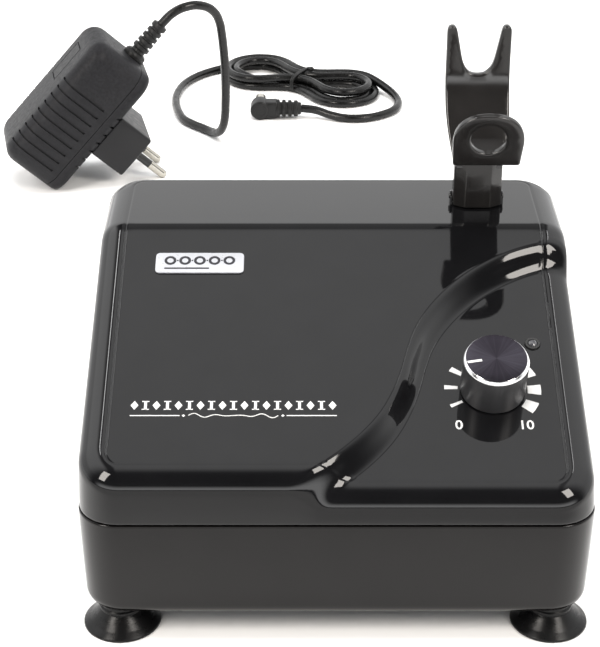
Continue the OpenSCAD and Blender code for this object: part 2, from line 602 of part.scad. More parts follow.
module adapter_plug_block() color("#232325") at_adapter() difference() {
    translate([plug_x - 11, -17.5, -18]) cube([22, 35, 17.95]);
    for (s = [-9.4, 9.4]) translate([plug_x, s, -19]) cylinder(r = pin_root, h = 12);
}
module adapter_pins() color("#c4c6c8") at_adapter() for (s = [-9.4, 9.4]) translate([plug_x, s, 0]) {
    translate([0, 0, tip_z]) cylinder(r = pin_r, h = 17.5);
    translate([0, 0, -18]) cylinder(r = pin_root - 0.03, h = 10.95);
    translate([0, 0, tip_z]) sphere(pin_r);
}
module strain_relief() color("#1c1c1d") at_adapter()
    translate([adapter_l - 1.95, exit_local[1], exit_local[2]]) rotate([0, 90, 0]) rotate_extrude()
    polygon([[0, 0], [5.4, 0], [5.4, 4], [4.4, 5], [3, 5.6], [3, 7.4], [4, 7.8], [4, 10.2],
        [2.9, 10.6], [2.9, 12], [3.8, 12.4], [3.8, 14.6], [2.8, 15], [2.8, 16.4], [3.6, 16.8],
        [3.6, 19], [2.4, 21.95], [0, 21.95]]);

// ---- low-voltage lead, lying on the surface ----
exit_pt = adapter_at + turned(exit_local);
exit_dir = turned([1, 0, 0]);
LEAD = concat([exit_pt, exit_pt + 3 * exit_dir], [
    [-67, 289.2, 76.8], [-59, 292.4, 78.2], [-51.7, 297.4, 74.4], [-48.4, 301.3, 67.2],
    [-47.2, 303.6, 57.6], [-46.6, 305.8, 47.8], [-46.4, 307.7, 39], [-46.6, 309.6,
    29.2], [-47, 311.5, 19.4], [-48.1, 314.2, 11], [-51.2, 320.7, 4.4], [-56.3, 328.7,
    2.1], [-62.5, 335.2, 2.1], [-68.8, 342.9, 2.1], [-72.1, 351.2, 2.1], [-74.2, 360.9,
    2.1], [-75.4, 370.9, 2.1], [-75.3, 379.8, 2.1], [-73.9, 389.7, 2.1], [-71.2, 398.3,
    2.1], [-66.4, 407, 2.1], [-59.9, 414.5, 2.1], [-52.8, 420.1, 2.1], [-44.4, 425.5,
    2.1]]);
// and on from the hank to the plug
TAIL = [
    [22.5, 397.7, 6.5], [28.2, 392.2, 5.9], [33.2, 386.2, 4.6], [37.1, 380.5, 3.3],
    [39.8, 373.1, 2.4], [40.2, 365.2, 2.1], [37.8, 357.7, 2.1], [33.4, 352.4, 2.1], [27,
    347.7, 2.1], [19.5, 345.3, 2.1], [11.6, 345.8, 2.2], [5.1, 348, 2.8], [-2.2, 350.9,
    4.3], [-10, 352, 5]];
hank_at = [-10, 396, 0];
hank_turn = -30;
module dc_lead() color("#1a1a1b") tube(smooth_path(LEAD, 1), lead_r);
module lead_tail() color("#1a1a1b") tube(smooth_path(TAIL, 1), lead_r);
module lead_hank() color("#1a1a1b") translate(hank_at) rotate(hank_turn) translate([0, 0, 0.7])
    union() {
        translate([-14, -11, 0]) cube([28, 22, 9]);
        for (s = [-25.4, 25.4]) translate([s, 0, 0]) cylinder(r = 19.6, h = 9);
    }
module twist_tie() color("#1a1a1b") translate(hank_at) rotate(hank_turn) difference() {
    translate([-1.5, -11.8, 0]) cube([3, 23.6, 10.5]);
    translate([-3, -11.05, 0.65]) cube([6, 22.1, 9.1]);
}
module dc_plug() color("#242426") translate([-10, 352, 5]) rotate([0, -90, 0]) {
    difference() {
        union() {
            rotate_extrude() polygon([[0, 0], [3.2, 0], [3.2, 2], [4.3, 2], [4.3, 3.6], [3.4, 3.6],
                [3.4, 5], [4.4, 5], [4.4, 6.6], [3.6, 6.6], [3.6, 8], [4.6, 8], [4.6, 9.6],
                [3.8, 9.6], [3.8, 11], [4.8, 11], [4.8, 13], [0, 13]]);
            translate([-4.2, -4, 12.5]) cube([8.4, 8, 8.5]);
            translate([0, 5, 21]) rotate([90, 0, 0]) cylinder(r = 4.9, h = 9.5);
        }
        translate([0, 8, 21]) rotate([90, 0, 0]) cylinder(r = 2.75, h = 6);
    }
}
module dc_plug_barrel() color("#c4c6c8") translate([-31, 354.05, 5]) rotate([-90, 0, 0]) difference() {
    cylinder(r = 2.75, h = 12.5);
    translate([0, 0, 3]) cylinder(r = 1.05, h = 12);
}

top_case();
bottom_case();
badge();
front_print();
dial_scale();
case_screws();
suction_feet();
knob();
knob_pointer();
knob_insert();
pot_shaft();
pot_body();
pot_nut();
led();
led_bezel();
circuit_board();
board_screws();
smoothing_capacitor();
power_transistor();
dc_jack();
jack_pin();
jack_nut();
outlet_fitting();
outlet_nut();
outlet_hose();
inlet_filter();
motor_can();
motor_end_cap();
motor_bearings();
motor_shaft();
armature();
motor_magnets();
motor_screws();
eccentric();
crank_bearing();
connecting_rod();
diaphragm();
pump_frame();
valve_plate();
valve_flaps();
head_cover();
head_screws();
pump_bracket();
rubber_mounts();
mount_screws();
holder();
holder_pin();
wires();
adapter_shell();
adapter_cover();
adapter_plug_block();
adapter_pins();
strain_relief();
dc_lead();
lead_hank();
lead_tail();
twist_tie();
dc_plug();
dc_plug_barrel();
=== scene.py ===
import json
import math

import bmesh
import bpy
import numpy as np
from mathutils import Matrix, Vector, geometry


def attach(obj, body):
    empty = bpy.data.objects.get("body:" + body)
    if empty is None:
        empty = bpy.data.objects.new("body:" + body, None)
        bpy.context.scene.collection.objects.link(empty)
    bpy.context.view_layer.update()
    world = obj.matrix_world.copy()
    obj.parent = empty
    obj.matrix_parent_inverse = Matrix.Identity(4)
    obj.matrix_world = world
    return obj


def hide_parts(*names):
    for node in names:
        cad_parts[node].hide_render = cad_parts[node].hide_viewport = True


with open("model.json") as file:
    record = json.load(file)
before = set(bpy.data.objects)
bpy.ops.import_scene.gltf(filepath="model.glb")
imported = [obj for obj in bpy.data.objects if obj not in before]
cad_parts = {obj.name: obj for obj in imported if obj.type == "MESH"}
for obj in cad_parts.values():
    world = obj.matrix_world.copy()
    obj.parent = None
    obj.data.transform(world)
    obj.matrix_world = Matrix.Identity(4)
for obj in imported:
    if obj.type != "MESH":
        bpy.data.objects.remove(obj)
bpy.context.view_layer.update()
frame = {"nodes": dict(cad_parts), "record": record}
NODES = frame["nodes"]

# ------------------------------------------------------------------ camera
cam_data = bpy.data.cameras.new("camera")
cam = bpy.data.objects.new("camera", cam_data)
bpy.context.scene.collection.objects.link(cam)
cam.location = (-0.010664, -0.483337, 0.324284)
cam.rotation_euler = (math.radians(90 - 27.982), 0, 0)
cam_data.sensor_width = 36
cam_data.lens = 96.65
cam_data.clip_start, cam_data.clip_end = 0.01, 20
bpy.context.scene.camera = cam
bpy.context.scene.view_settings.view_transform = "Standard"

# ------------------------------------------------------------------ materials
MATS = {}


def link(nt, a, b):
    nt.links.new(a, b)


def material(name, base, rough, metal=0.0, spec=0.5, coat=0.0, vary=0.25, mottle=0.12, mottle_scale=90,
             rough_scale=60, bump=0.0, bump_scale=900, rings=0.0, streak=0.0, stretch=(1, 1, 1),
             sheen=0.0, detail=4, ior=1.5, wear=0.0):
    """A moulded or machined finish: colour mottle, roughness that varies, and a fine grain."""
    if name in MATS:
        return MATS[name]
    m = bpy.data.materials.new(name)
    m.use_nodes = True
    nt = m.node_tree
    bs = nt.nodes["Principled BSDF"]
    co = nt.nodes.new("ShaderNodeTexCoord")
    mp = nt.nodes.new("ShaderNodeMapping")
    mp.inputs["Scale"].default_value = stretch
    link(nt, co.outputs["Object"], mp.inputs["Vector"])
    bs.inputs["Metallic"].default_value = metal
    bs.inputs["IOR"].default_value = ior
    bs.inputs["Specular IOR Level"].default_value = spec
    bs.inputs["Coat Weight"].default_value = coat
    bs.inputs["Coat Roughness"].default_value = 0.03
    bs.inputs["Sheen Weight"].default_value = sheen
    # colour
    n1 = nt.nodes.new("ShaderNodeTexNoise")
    n1.inputs["Scale"].default_value = mottle_scale
    n1.inputs["Detail"].default_value = detail
    link(nt, mp.outputs["Vector"], n1.inputs["Vector"])
    cr = nt.nodes.new("ShaderNodeValToRGB")
    lo = [c * (1 - mottle) for c in base]
    hi = [min(1.0, c * (1 + mottle)) for c in base]
    cr.color_ramp.elements[0].position = 0.3
    cr.color_ramp.elements[1].position = 0.7
    cr.color_ramp.elements[0].color = (*lo, 1)
    cr.color_ramp.elements[1].color = (*hi, 1)
    link(nt, n1.outputs["Fac"], cr.inputs["Fac"])
    colour = cr.outputs["Color"]
    if wear:
        # lighter where an edge is rubbed
        gm = nt.nodes.new("ShaderNodeNewGeometry")
        wr = nt.nodes.new("ShaderNodeMapRange")
        wr.inputs["From Min"].default_value = 0.52
        wr.inputs["From Max"].default_value = 0.62
        wr.inputs["To Max"].default_value = wear
        link(nt, gm.outputs["Pointiness"], wr.inputs["Value"])
        mx = nt.nodes.new("ShaderNodeMix")
        mx.data_type = "RGBA"
        link(nt, wr.outputs["Result"], mx.inputs["Factor"])
        link(nt, colour, mx.inputs["A"])
        mx.inputs["B"].default_value = (*[min(1, c * 2.2 + 0.03) for c in base], 1)
        colour = mx.outputs["Result"]
    link(nt, colour, bs.inputs["Base Color"])
    # roughness
    n2 = nt.nodes.new("ShaderNodeTexNoise")
    n2.inputs["Scale"].default_value = rough_scale
    n2.inputs["Detail"].default_value = 5
    link(nt, mp.outputs["Vector"], n2.inputs["Vector"])
    mr = nt.nodes.new("ShaderNodeMapRange")
    mr.inputs["From Min"].default_value = 0.3
    mr.inputs["From Max"].default_value = 0.7
    mr.inputs["To Min"].default_value = rough * (1 - vary)
    mr.inputs["To Max"].default_value = min(1, rough * (1 + vary))
    link(nt, n2.outputs["Fac"], mr.inputs["Value"])
    link(nt, mr.outputs["Result"], bs.inputs["Roughness"])
    height = None
    if bump:
        n3 = nt.nodes.new("ShaderNodeTexNoise")
        n3.inputs["Scale"].default_value = bump_scale
        n3.inputs["Detail"].default_value = 3
        link(nt, mp.outputs["Vector"], n3.inputs["Vector"])
        height = n3.outputs["Fac"]
        dist = bump
    if rings:
        w = nt.nodes.new("ShaderNodeTexWave")
        w.wave_type = "RINGS"
        w.rings_direction = "Z"
        w.inputs["Scale"].default_value = rings
        w.inputs["Distortion"].default_value = 0.3
        link(nt, co.outputs["Object"], w.inputs["Vector"])
        height = w.outputs["Fac"]
        dist = 0.00002
    if height is not None:
        bp = nt.nodes.new("ShaderNodeBump")
        bp.inputs["Strength"].default_value = 1.0
        bp.inputs["Distance"].default_value = dist
        link(nt, height, bp.inputs["Height"])
        link(nt, bp.outputs["Normal"], bs.inputs["Normal"])
    MATS[name] = m
    return m


case_top_mat = material("gloss_case", (0.0045, 0.0045, 0.0050), 0.045, vary=0.35, rough_scale=30,
                        mottle=0.12, bump=0.0000012, bump_scale=160, spec=0.36)
case_low_mat = material("gloss_case_lower", (0.0050, 0.0045, 0.0045), 0.10, vary=0.3, rough_scale=40,
                        mottle=0.12, bump=0.000002, bump_scale=260, spec=0.25)
rubber_mat = material("cup_rubber", (0.004, 0.004, 0.0042), 0.27, vary=0.25, rough_scale=200,
                      bump=0.00001, bump_scale=1500, spec=0.2)
holder_mat = material("holder_plastic", (0.0125, 0.0117, 0.0113), 0.15, vary=0.3, rough_scale=150,
                      bump=0.000003, bump_scale=1200, mottle=0.15, spec=0.5)
adapter_mat = material("adapter_plastic", (0.012, 0.012, 0.0135), 0.46, vary=0.15, rough_scale=500,
                       bump=0.00003, bump_scale=3000, mottle=0.3, mottle_scale=800, wear=0.15, spec=0.15)
block_mat = material("plug_block_plastic", (0.009, 0.009, 0.010), 0.40, vary=0.15, rough_scale=400,
                     bump=0.00002, bump_scale=2500, spec=0.25)
pvc_mat = material("lead_pvc", (0.005, 0.005, 0.005), 0.27, vary=0.3, rough_scale=300,
                   bump=0.00001, bump_scale=700, mottle=0.25, spec=0.30)
relief_mat = material("relief_rubber", (0.008, 0.008, 0.008), 0.40, vary=0.2, rough_scale=300,
                      bump=0.00002, bump_scale=1600, spec=0.28)
knob_side = material("knob_anodised", (0.060, 0.060, 0.063), 0.36, metal=0.55, vary=0.2,
                     rough_scale=350, mottle=0.15, stretch=(1, 1, 0.05), bump=0.000002, bump_scale=600)
knob_face = material("knob_spun_face_painted_sheen", (0.070, 0.065, 0.078), 0.34, metal=1.0, vary=0.15,
                     rough_scale=500)
kf = knob_face.node_tree
kb = kf.nodes["Principled BSDF"]
ka = kf.nodes.new("ShaderNodeAttribute")
ka.attribute_name = "turned"
kx = kf.nodes.new("ShaderNodeSeparateXYZ")
link(kf, ka.outputs["Vector"], kx.inputs["Vector"])
# face colour set by angle round the knob: cos(2 x angle) paints a bow-tie reflection of the spun metal, fixed to the
# knob (painted highlight), and noise along the angle adds real radial grain streaks
kang = kf.nodes.new("ShaderNodeMath")
kang.operation = "ARCTAN2"
link(kf, kx.outputs["Y"], kang.inputs[0])
link(kf, kx.outputs["X"], kang.inputs[1])
kcos = kf.nodes.new("ShaderNodeMath")
kcos.operation = "MULTIPLY"
kcos.inputs[1].default_value = 2.0
link(kf, kang.outputs[0], kcos.inputs[0])
knob_painted_sheen = kf.nodes.new("ShaderNodeMath")
knob_painted_sheen.operation = "COSINE"
link(kf, kcos.outputs[0], knob_painted_sheen.inputs[0])
kcomb = kf.nodes.new("ShaderNodeCombineXYZ")
link(kf, kang.outputs[0], kcomb.inputs["X"])
kno = kf.nodes.new("ShaderNodeTexNoise")
kno.inputs["Scale"].default_value = 7.0
kno.inputs["Detail"].default_value = 6
link(kf, kcomb.outputs["Vector"], kno.inputs["Vector"])
knob_sheen_and_grain = kf.nodes.new("ShaderNodeMath")
knob_sheen_and_grain.operation = "MULTIPLY_ADD"
knob_sheen_and_grain.inputs[1].default_value = 0.22
link(kf, knob_painted_sheen.outputs[0], knob_sheen_and_grain.inputs[0])
link(kf, kno.outputs["Fac"], knob_sheen_and_grain.inputs[2])
knob_sheen_grain_ramp = kf.nodes.new("ShaderNodeValToRGB")
knob_sheen_grain_ramp.color_ramp.elements[0].position = 0.28
knob_sheen_grain_ramp.color_ramp.elements[1].position = 0.80
knob_sheen_grain_ramp.color_ramp.elements[0].color = (0.036, 0.032, 0.041, 1)
knob_sheen_grain_ramp.color_ramp.elements[1].color = (0.068, 0.063, 0.078, 1)
link(kf, knob_sheen_and_grain.outputs[0], knob_sheen_grain_ramp.inputs["Fac"])
link(kf, knob_sheen_grain_ramp.outputs["Color"], kb.inputs["Base Color"])
krad = kf.nodes.new("ShaderNodeVectorMath")
krad.operation = "LENGTH"
link(kf, ka.outputs["Vector"], krad.inputs[0])
ksin = kf.nodes.new("ShaderNodeMath")
ksin.operation = "MULTIPLY"
ksin.inputs[1].default_value = 26.0
link(kf, krad.outputs["Value"], ksin.inputs[0])
ksn = kf.nodes.new("ShaderNodeMath")
ksn.operation = "SINE"
link(kf, ksin.outputs[0], ksn.inputs[0])
kbp = kf.nodes.new("ShaderNodeBump")
kbp.inputs["Distance"].default_value = 0.0000025
link(kf, ksn.outputs[0], kbp.inputs["Height"])
link(kf, kbp.outputs["Normal"], kb.inputs["Normal"])
knob_rim = material("knob_cut_rim", (0.93, 0.93, 0.94), 0.16, metal=1.0, vary=0.3, rough_scale=900,
                    mottle=0.05)
white_mat = material("white_ink", (0.60, 0.60, 0.595), 0.45, vary=0.2, mottle=0.04, mottle_scale=1500,
                     bump=0.000004, bump_scale=4000)
badge_mat = material("badge_foil", (0.43, 0.44, 0.47), 0.34, metal=0.25, vary=0.25, rough_scale=700,
                     mottle=0.05, bump=0.000004, bump_scale=2500)
badge_ink = material("badge_ink", (0.03, 0.03, 0.035), 0.45, spec=0.2, vary=0.2, rough_scale=900)
steel_mat = material("zinc_steel", (0.56, 0.57, 0.58), 0.30, metal=1.0, vary=0.3, rough_scale=400,
                     mottle=0.1, bump=0.000006, bump_scale=1800)
nickel_mat = material("pin_nickel", (0.47, 0.45, 0.40), 0.22, metal=1.0, vary=0.3, rough_scale=700,
                      mottle=0.05, bump=0.000003, bump_scale=2500)
brass_mat = material("brass", (0.72, 0.52, 0.24), 0.24, metal=1.0, vary=0.3, rough_scale=400,
                     mottle=0.1, bump=0.000005, bump_scale=1500)
dark_plastic = material("black_plastic", (0.015, 0.015, 0.015), 0.35, vary=0.2, rough_scale=300,
                        bump=0.00001, bump_scale=1200)
lens_mat = material("led_lens", (0.045, 0.045, 0.05), 0.06, vary=0.2, rough_scale=400, coat=0.6)
board_mat = material("board_green", (0.02, 0.11, 0.05), 0.35, vary=0.2, mottle=0.3, mottle_scale=300)
cap_mat = material("capacitor_sleeve", (0.03, 0.05, 0.15), 0.25, vary=0.2)
hose_mat = material("silicone_hose", (0.62, 0.66, 0.65), 0.30, vary=0.2, bump=0.00001, bump_scale=600)
filter_mat = material("filter_body", (0.72, 0.70, 0.63), 0.5, vary=0.2, bump=0.00002, bump_scale=900)
motor_mat = material("motor_can", (0.60, 0.60, 0.61), 0.26, metal=1.0, vary=0.25,
                     stretch=(0.1, 1, 1), rough_scale=500, bump=0.000006, bump_scale=1200)
copper_mat = material("copper_winding", (0.72, 0.30, 0.14), 0.3, metal=1.0, vary=0.2,
                      bump=0.00004, bump_scale=900)
magnet_mat = material("ferrite_magnet", (0.06, 0.06, 0.065), 0.6, vary=0.15, bump=0.00002, bump_scale=900)
cast_mat = material("die_casting", (0.42, 0.43, 0.44), 0.42, metal=1.0, vary=0.2, bump=0.00003,
                    bump_scale=900)
flap_mat = material("flap_rubber", (0.23, 0.03, 0.02), 0.5, vary=0.2, bump=0.00001, bump_scale=900)
wire_mat = material("wire_red", (0.32, 0.02, 0.015), 0.35, vary=0.2, bump=0.000005, bump_scale=900)
rod_mat = material("rod_nylon", (0.66, 0.63, 0.55), 0.45, vary=0.2, bump=0.00001, bump_scale=900)

FINISH = {
    "screw_steel": steel_mat, "brass": brass_mat, "shaft_steel": steel_mat, "pot_case": cast_mat,
    "led_lens": lens_mat, "black_plastic": dark_plastic, "board_green": board_mat,
    "cap_blue": cap_mat, "hose_silicone": hose_mat, "filter_white": filter_mat,
    "motor_steel": motor_mat, "copper": copper_mat, "magnet": magnet_mat, "die_cast": cast_mat,
    "flap_rubber": flap_mat, "wire_red": wire_mat, "pin_nickel": nickel_mat, "lead_pvc": pvc_mat,
    "adapter_plastic": adapter_mat, "holder_plastic": holder_mat, "knob_anodised": knob_side,
    "print_white": white_mat, "cup_rubber": rubber_mat, "case_gloss": case_top_mat,
    "case_lower": case_low_mat, "badge_silver": badge_mat,
}
SLOT = {}
for sp in frame["record"].get("subparts", []):
    nm = sp.get("node") or sp.get("name")
    if nm:
        SLOT[nm] = sp.get("material_slot") or sp.get("slot") or sp.get("material")
OVER = {"connecting_rod": rod_mat, "rubber_mounts": rubber_mat, "diaphragm": rubber_mat,
        "knob_pointer": white_mat, "led_bezel": dark_plastic, "pot_nut": steel_mat,
        "adapter_plug_block": block_mat}
for nm, o in NODES.items():
    mt = OVER.get(nm) or FINISH.get(SLOT.get(nm)) or dark_plastic
    o.data.materials.clear()
    o.data.materials.append(mt)


# ------------------------------------------------------------------ mesh helpers (mm in, m out)
def put(name, verts, faces, mats, body, where=None, angle=35, smooth=True, face_mats=None):
    me = bpy.data.meshes.new(name)
    me.from_pydata([tuple(c * 0.001 for c in v) for v in verts], [], faces)
    for m in (mats if isinstance(mats, (list, tuple)) else [mats]):
        me.materials.append(m)
    if face_mats is not None:
        me.polygons.foreach_set("material_index", face_mats)
    bm = bmesh.new()
    bm.from_mesh(me)
    bmesh.ops.remove_doubles(bm, verts=bm.verts, dist=2e-7)
    bmesh.ops.recalc_face_normals(bm, faces=bm.faces)
    bm.to_mesh(me)
    bm.free()
    if smooth:
        me.polygons.foreach_set("use_smooth", [True] * len(me.polygons))
        me.set_sharp_from_angle(angle=math.radians(angle))
    me.update()
    ob = bpy.data.objects.new(name, me)
    bpy.context.scene.collection.objects.link(ob)
    if where is not None:
        ob.matrix_world = where
    if body:
        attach(ob, body)
    return ob


def lathe(profile, n=96, closed=False):
    """profile = [(r, z)], turned about Z. r = 0 makes a pole."""
    verts, faces = [], []
    rows = []
    for r, z in profile:
        if r < 1e-6:
            rows.append([len(verts)])
            verts.append((0, 0, z))
        else:
            rows.append(list(range(len(verts), len(verts) + n)))
            for i in range(n):
                a = 2 * math.pi * i / n
                verts.append((r * math.cos(a), r * math.sin(a), z))
    pairs = list(zip(rows[:-1], rows[1:]))
    if closed:
        pairs.append((rows[-1], rows[0]))
    for a, b in pairs:
        for i in range(n):
            j = (i + 1) % n
            if len(a) == 1 and len(b) == 1:
                continue
            if len(a) == 1:
                faces.append((a[0], b[i], b[j]))
            elif len(b) == 1:
                faces.append((a[i], a[j], b[0]))
            else:
                faces.append((a[i], a[j], b[j], b[i]))
    return verts, faces


def rounded(profile, r, k=4):
    """Rounds the corners of an open (r, z) profile by radius r (a number, or one per point)."""
    out = [profile[0]]
    for i in range(1, len(profile) - 1):
        rr = r[i] if isinstance(r, (list, tuple)) else r
        p, a, b = (Vector(profile[j]) for j in (i, i - 1, i + 1))
        u, v = (a - p), (b - p)
        la, lb = u.length, v.length
        u.normalize()
        v.normalize()
        ang = math.acos(max(-1, min(1, u.dot(v))))
        if rr <= 0 or ang > 3.1 or ang < 0.02:
            out.append(profile[i])
            continue
        t = min(rr / math.tan(ang / 2), 0.48 * la, 0.48 * lb)
        for q in range(k + 1):
            s = q / k
            a0, a1 = p + u * t, p + v * t
            w = (1 - s) ** 2 * a0 + 2 * s * (1 - s) * p + s * s * a1
            out.append((w.x, w.y))
    out.append(profile[-1])
    return out


def round_poly(poly, r, k=5):
    """A closed polygon with its corners rounded (r a number or one per corner)."""
    n = len(poly)
    out = []
    for i in range(n):
        rr = r[i] if isinstance(r, (list, tuple)) else r
        p, a, b = Vector(poly[i]), Vector(poly[i - 1]), Vector(poly[(i + 1) % n])
        u, v = a - p, b - p
        la, lb = u.length, v.length
        u.normalize()
        v.normalize()
        ang = math.acos(max(-1, min(1, u.dot(v))))
        if rr <= 0 or ang > 3.12:
            out.append((p.x, p.y))
            continue
        t = min(rr / math.tan(ang / 2), 0.48 * la, 0.48 * lb)
        a0, a1 = p + u * t, p + v * t
        for q in range(k + 1):
            s = q / k
            w = (1 - s) ** 2 * a0 + 2 * s * (1 - s) * p + s * s * a1
            out.append((w.x, w.y))
    return out


def densify(loop, step):
    out = []
    n = len(loop)
    for i in range(n):
        a, b = np.array(loop[i], float), np.array(loop[(i + 1) % n], float)
        d = np.linalg.norm(b - a)
        m = max(1, int(math.ceil(d / step)))
        for q in range(m):
            out.append(tuple(a + (b - a) * q / m))
    return out


def area2(loop):
    return 0.5 * sum(loop[i - 1][0] * loop[i][1] - loop[i][0] * loop[i - 1][1] for i in range(len(loop)))


def inset(loop, d):
    """Moves each point of a closed loop inwards by d (outwards for a loop that runs clockwise)."""
    n = len(loop)
    p = np.array(loop, float)
    a, b = np.roll(p, 1, 0), np.roll(p, -1, 0)
    e1, e2 = p - a, b - p
    e1 /= np.maximum(np.linalg.norm(e1, axis=1)[:, None], 1e-9)
    e2 /= np.maximum(np.linalg.norm(e2, axis=1)[:, None], 1e-9)
    n1 = np.stack([-e1[:, 1], e1[:, 0]], 1)
    n2 = np.stack([-e2[:, 1], e2[:, 0]], 1)
    m = n1 + n2
    m /= np.maximum((m * n1).sum(1)[:, None], 0.35)
    return [tuple(q) for q in (p + m * d)]


def inside(pt, loop):
    x, y = pt
    c = False
    n = len(loop)
    j = n - 1
    for i in range(n):
        xi, yi = loop[i]
        xj, yj = loop[j]
        if (yi > y) != (yj > y) and x < (xj - xi) * (y - yi) / (yj - yi) + xi:
            c = not c
        j = i
    return c


def inside_many(pts, loop):
    pts = np.asarray(pts, float)
    L = np.asarray(loop, float)
    c = np.zeros(len(pts), bool)
    j = len(L) - 1
    for i in range(len(L)):
        (xi, yi), (xj, yj) = L[i], L[j]
        if yi != yj:
            hit = ((yi > pts[:, 1]) != (yj > pts[:, 1])) & (
                pts[:, 0] < (xj - xi) * (pts[:, 1] - yi) / (yj - yi) + xi)
            c ^= hit
        j = i
    return c


def fill(loops, points):
    """Triangles inside loops[0] and outside the others, using the extra points. Returns (2-D points, triangles)."""
    vs, es = [], []
    for lp in loops:
        s = len(vs)
        vs += [Vector((float(p[0]), float(p[1]))) for p in lp]
        es += [(s + i, s + (i + 1) % len(lp)) for i in range(len(lp))]
    vs += [Vector((float(p[0]), float(p[1]))) for p in points]
    v, e, f, *_ = geometry.delaunay_2d_cdt(vs, es, [], 1, 1e-5)
    v = [(p.x, p.y) for p in v]
    cen = np.array([[sum(v[i][0] for i in t) / len(t), sum(v[i][1] for i in t) / len(t)] for t in f])
    keep = inside_many(cen, loops[0])
    for lp in loops[1:]:
        keep &= ~inside_many(cen, lp)
    return v, [tuple(t) for t, k in zip(f, keep) if k]


def grid_in(loops, step, margin):
    """Grid points inside the loops and at least margin from each."""
    o = np.array(loops[0])
    xs = np.arange(o[:, 0].min(), o[:, 0].max(), step)
    ys = np.arange(o[:, 1].min(), o[:, 1].max(), step)
    P = np.array([(x + (0.5 * step if k % 2 else 0), y) for k, y in enumerate(ys) for x in xs])
    if not len(P):
        return []
    ok = inside_many(P, loops[0])
    for lp in loops[1:]:
        ok &= ~inside_many(P, lp)
    P = P[ok]
    allp = np.concatenate([np.array(densify(lp, step * 0.5)) for lp in loops])
    d = np.full(len(P), 1e9)
    for s in range(0, len(P), 2000):
        d[s:s + 2000] = np.sqrt(((P[s:s + 2000, None] - allp[None]) ** 2).sum(2)).min(1)
    return [tuple(p) for p in P[d > margin]]


def plate(outer, holes, lo, hi, r=0.5, step=2.0, k=4, place=None):
    """A solid with that outline between the two height functions lo(x, y) and hi(x, y), its edges rounded by r.
    place maps (x, y, h) to 3-D; by default h is z."""
    place = place or (lambda x, y, h: (x, y, h))
    if area2(outer) < 0:
        outer = outer[::-1]
    holes = [h[::-1] if area2(h) > 0 else h for h in holes]
    loops = [outer] + holes
    verts, faces = [], []
    walls = []
    for side in (0, 1):
        rows = []
        for q in range(k + 1):
            a = math.pi / 2 * q / k
            ins, dep = r * (1 - math.cos(a)), r * (1 - math.sin(a))
            row = []
            for lp in loops:
                pts = inset(lp, ins) if ins > 0 else lp
                ids = []
                for p in pts:
                    h = hi(*p) - dep if side else lo(*p) + dep
                    ids.append(len(verts))
                    verts.append(place(p[0], p[1], h))
                row.append((ids, pts))
            rows.append(row)
        for q in range(k):
            for (ia, _), (ib, _) in zip(rows[q], rows[q + 1]):
                n = len(ia)
                for i in range(n):
                    j = (i + 1) % n
                    faces.append((ia[i], ia[j], ib[j], ib[i]))
        last = [p for _, p in rows[-1]]
        v2, tri = fill(last, grid_in(last, step, step * 0.45))
        s = len(verts)
        for p in v2:
            verts.append(place(p[0], p[1], hi(*p) if side else lo(*p)))
        faces += [tuple(s + i for i in t) for t in tri]
        walls.append([ids for ids, _ in rows[0]])
    for ia, ib in zip(*walls):
        n = len(ia)
        for i in range(n):
            j = (i + 1) % n
            faces.append((ia[i], ia[j], ib[j], ib[i]))
    return verts, faces


def join(*parts):
    verts, faces = [], []
    for v, f in parts:
        s = len(verts)
        verts += v
        faces += [tuple(s + i for i in t) for t in f]
    return verts, faces


def moved(part, m):
    v, f = part
    return [tuple(m @ Vector(p)) for p in v], f


def apply_boolean(ob, cutters, op="DIFFERENCE"):
    for c in cutters:
        md = ob.modifiers.new("b", "BOOLEAN")
        md.operation = op
        md.solver = "EXACT"
        md.object = c
    bpy.context.view_layer.update()
    dg = bpy.context.evaluated_depsgraph_get()
    me = bpy.data.meshes.new_from_object(ob.evaluated_get(dg))
    ob.modifiers.clear()
    old = ob.data
    ob.data = me
    bpy.data.meshes.remove(old)
    for c in cutters:
        d = c.data
        bpy.data.objects.remove(c)
        bpy.data.meshes.remove(d)
    me.polygons.foreach_set("use_smooth", [True] * len(me.polygons))
    me.set_sharp_from_angle(angle=math.radians(30))


def tube(path, r, sides=16, cap=True):
    """A round tube along 3-D points; r is a number or one per point."""
    P = [Vector(p) for p in path]
    n = len(P)
    T = [(P[min(i + 1, n - 1)] - P[max(i - 1, 0)]).normalized() for i in range(n)]
    u = T[0].orthogonal().normalized()
    verts, faces = [], []
    for i in range(n):
        u = (u - u.dot(T[i]) * T[i]).normalized()
        w = T[i].cross(u)
        rr = r[i] if isinstance(r, (list, tuple)) else r
        for s in range(sides):
            a = 2 * math.pi * s / sides
            verts.append(tuple(P[i] + rr * (math.cos(a) * u + math.sin(a) * w)))
    for i in range(n - 1):
        for s in range(sides):
            t = (s + 1) % sides
            faces.append((i * sides + s, i * sides + t, (i + 1) * sides + t, (i + 1) * sides + s))
    if cap:
        faces.append(tuple(range(sides))[::-1])
        faces.append(tuple((n - 1) * sides + s for s in range(sides)))
    return verts, faces


# ------------------------------------------------------------------ the lead, one run from relief to plug
def cr(P, n=10):
    P = [np.array(p, float) for p in P]
    out = []
    for i in range(len(P) - 1):
        a, b, c, d = P[max(i - 1, 0)], P[i], P[i + 1], P[min(i + 2, len(P) - 1)]
        for k in range(n):
            t = k / n
            out.append(((2 * b) + (c - a) * t + (2 * a - 5 * b + 4 * c - d) * t * t
                        + (3 * b - a - 3 * c + d) * t ** 3) / 2)
    out.append(P[-1])
    return out


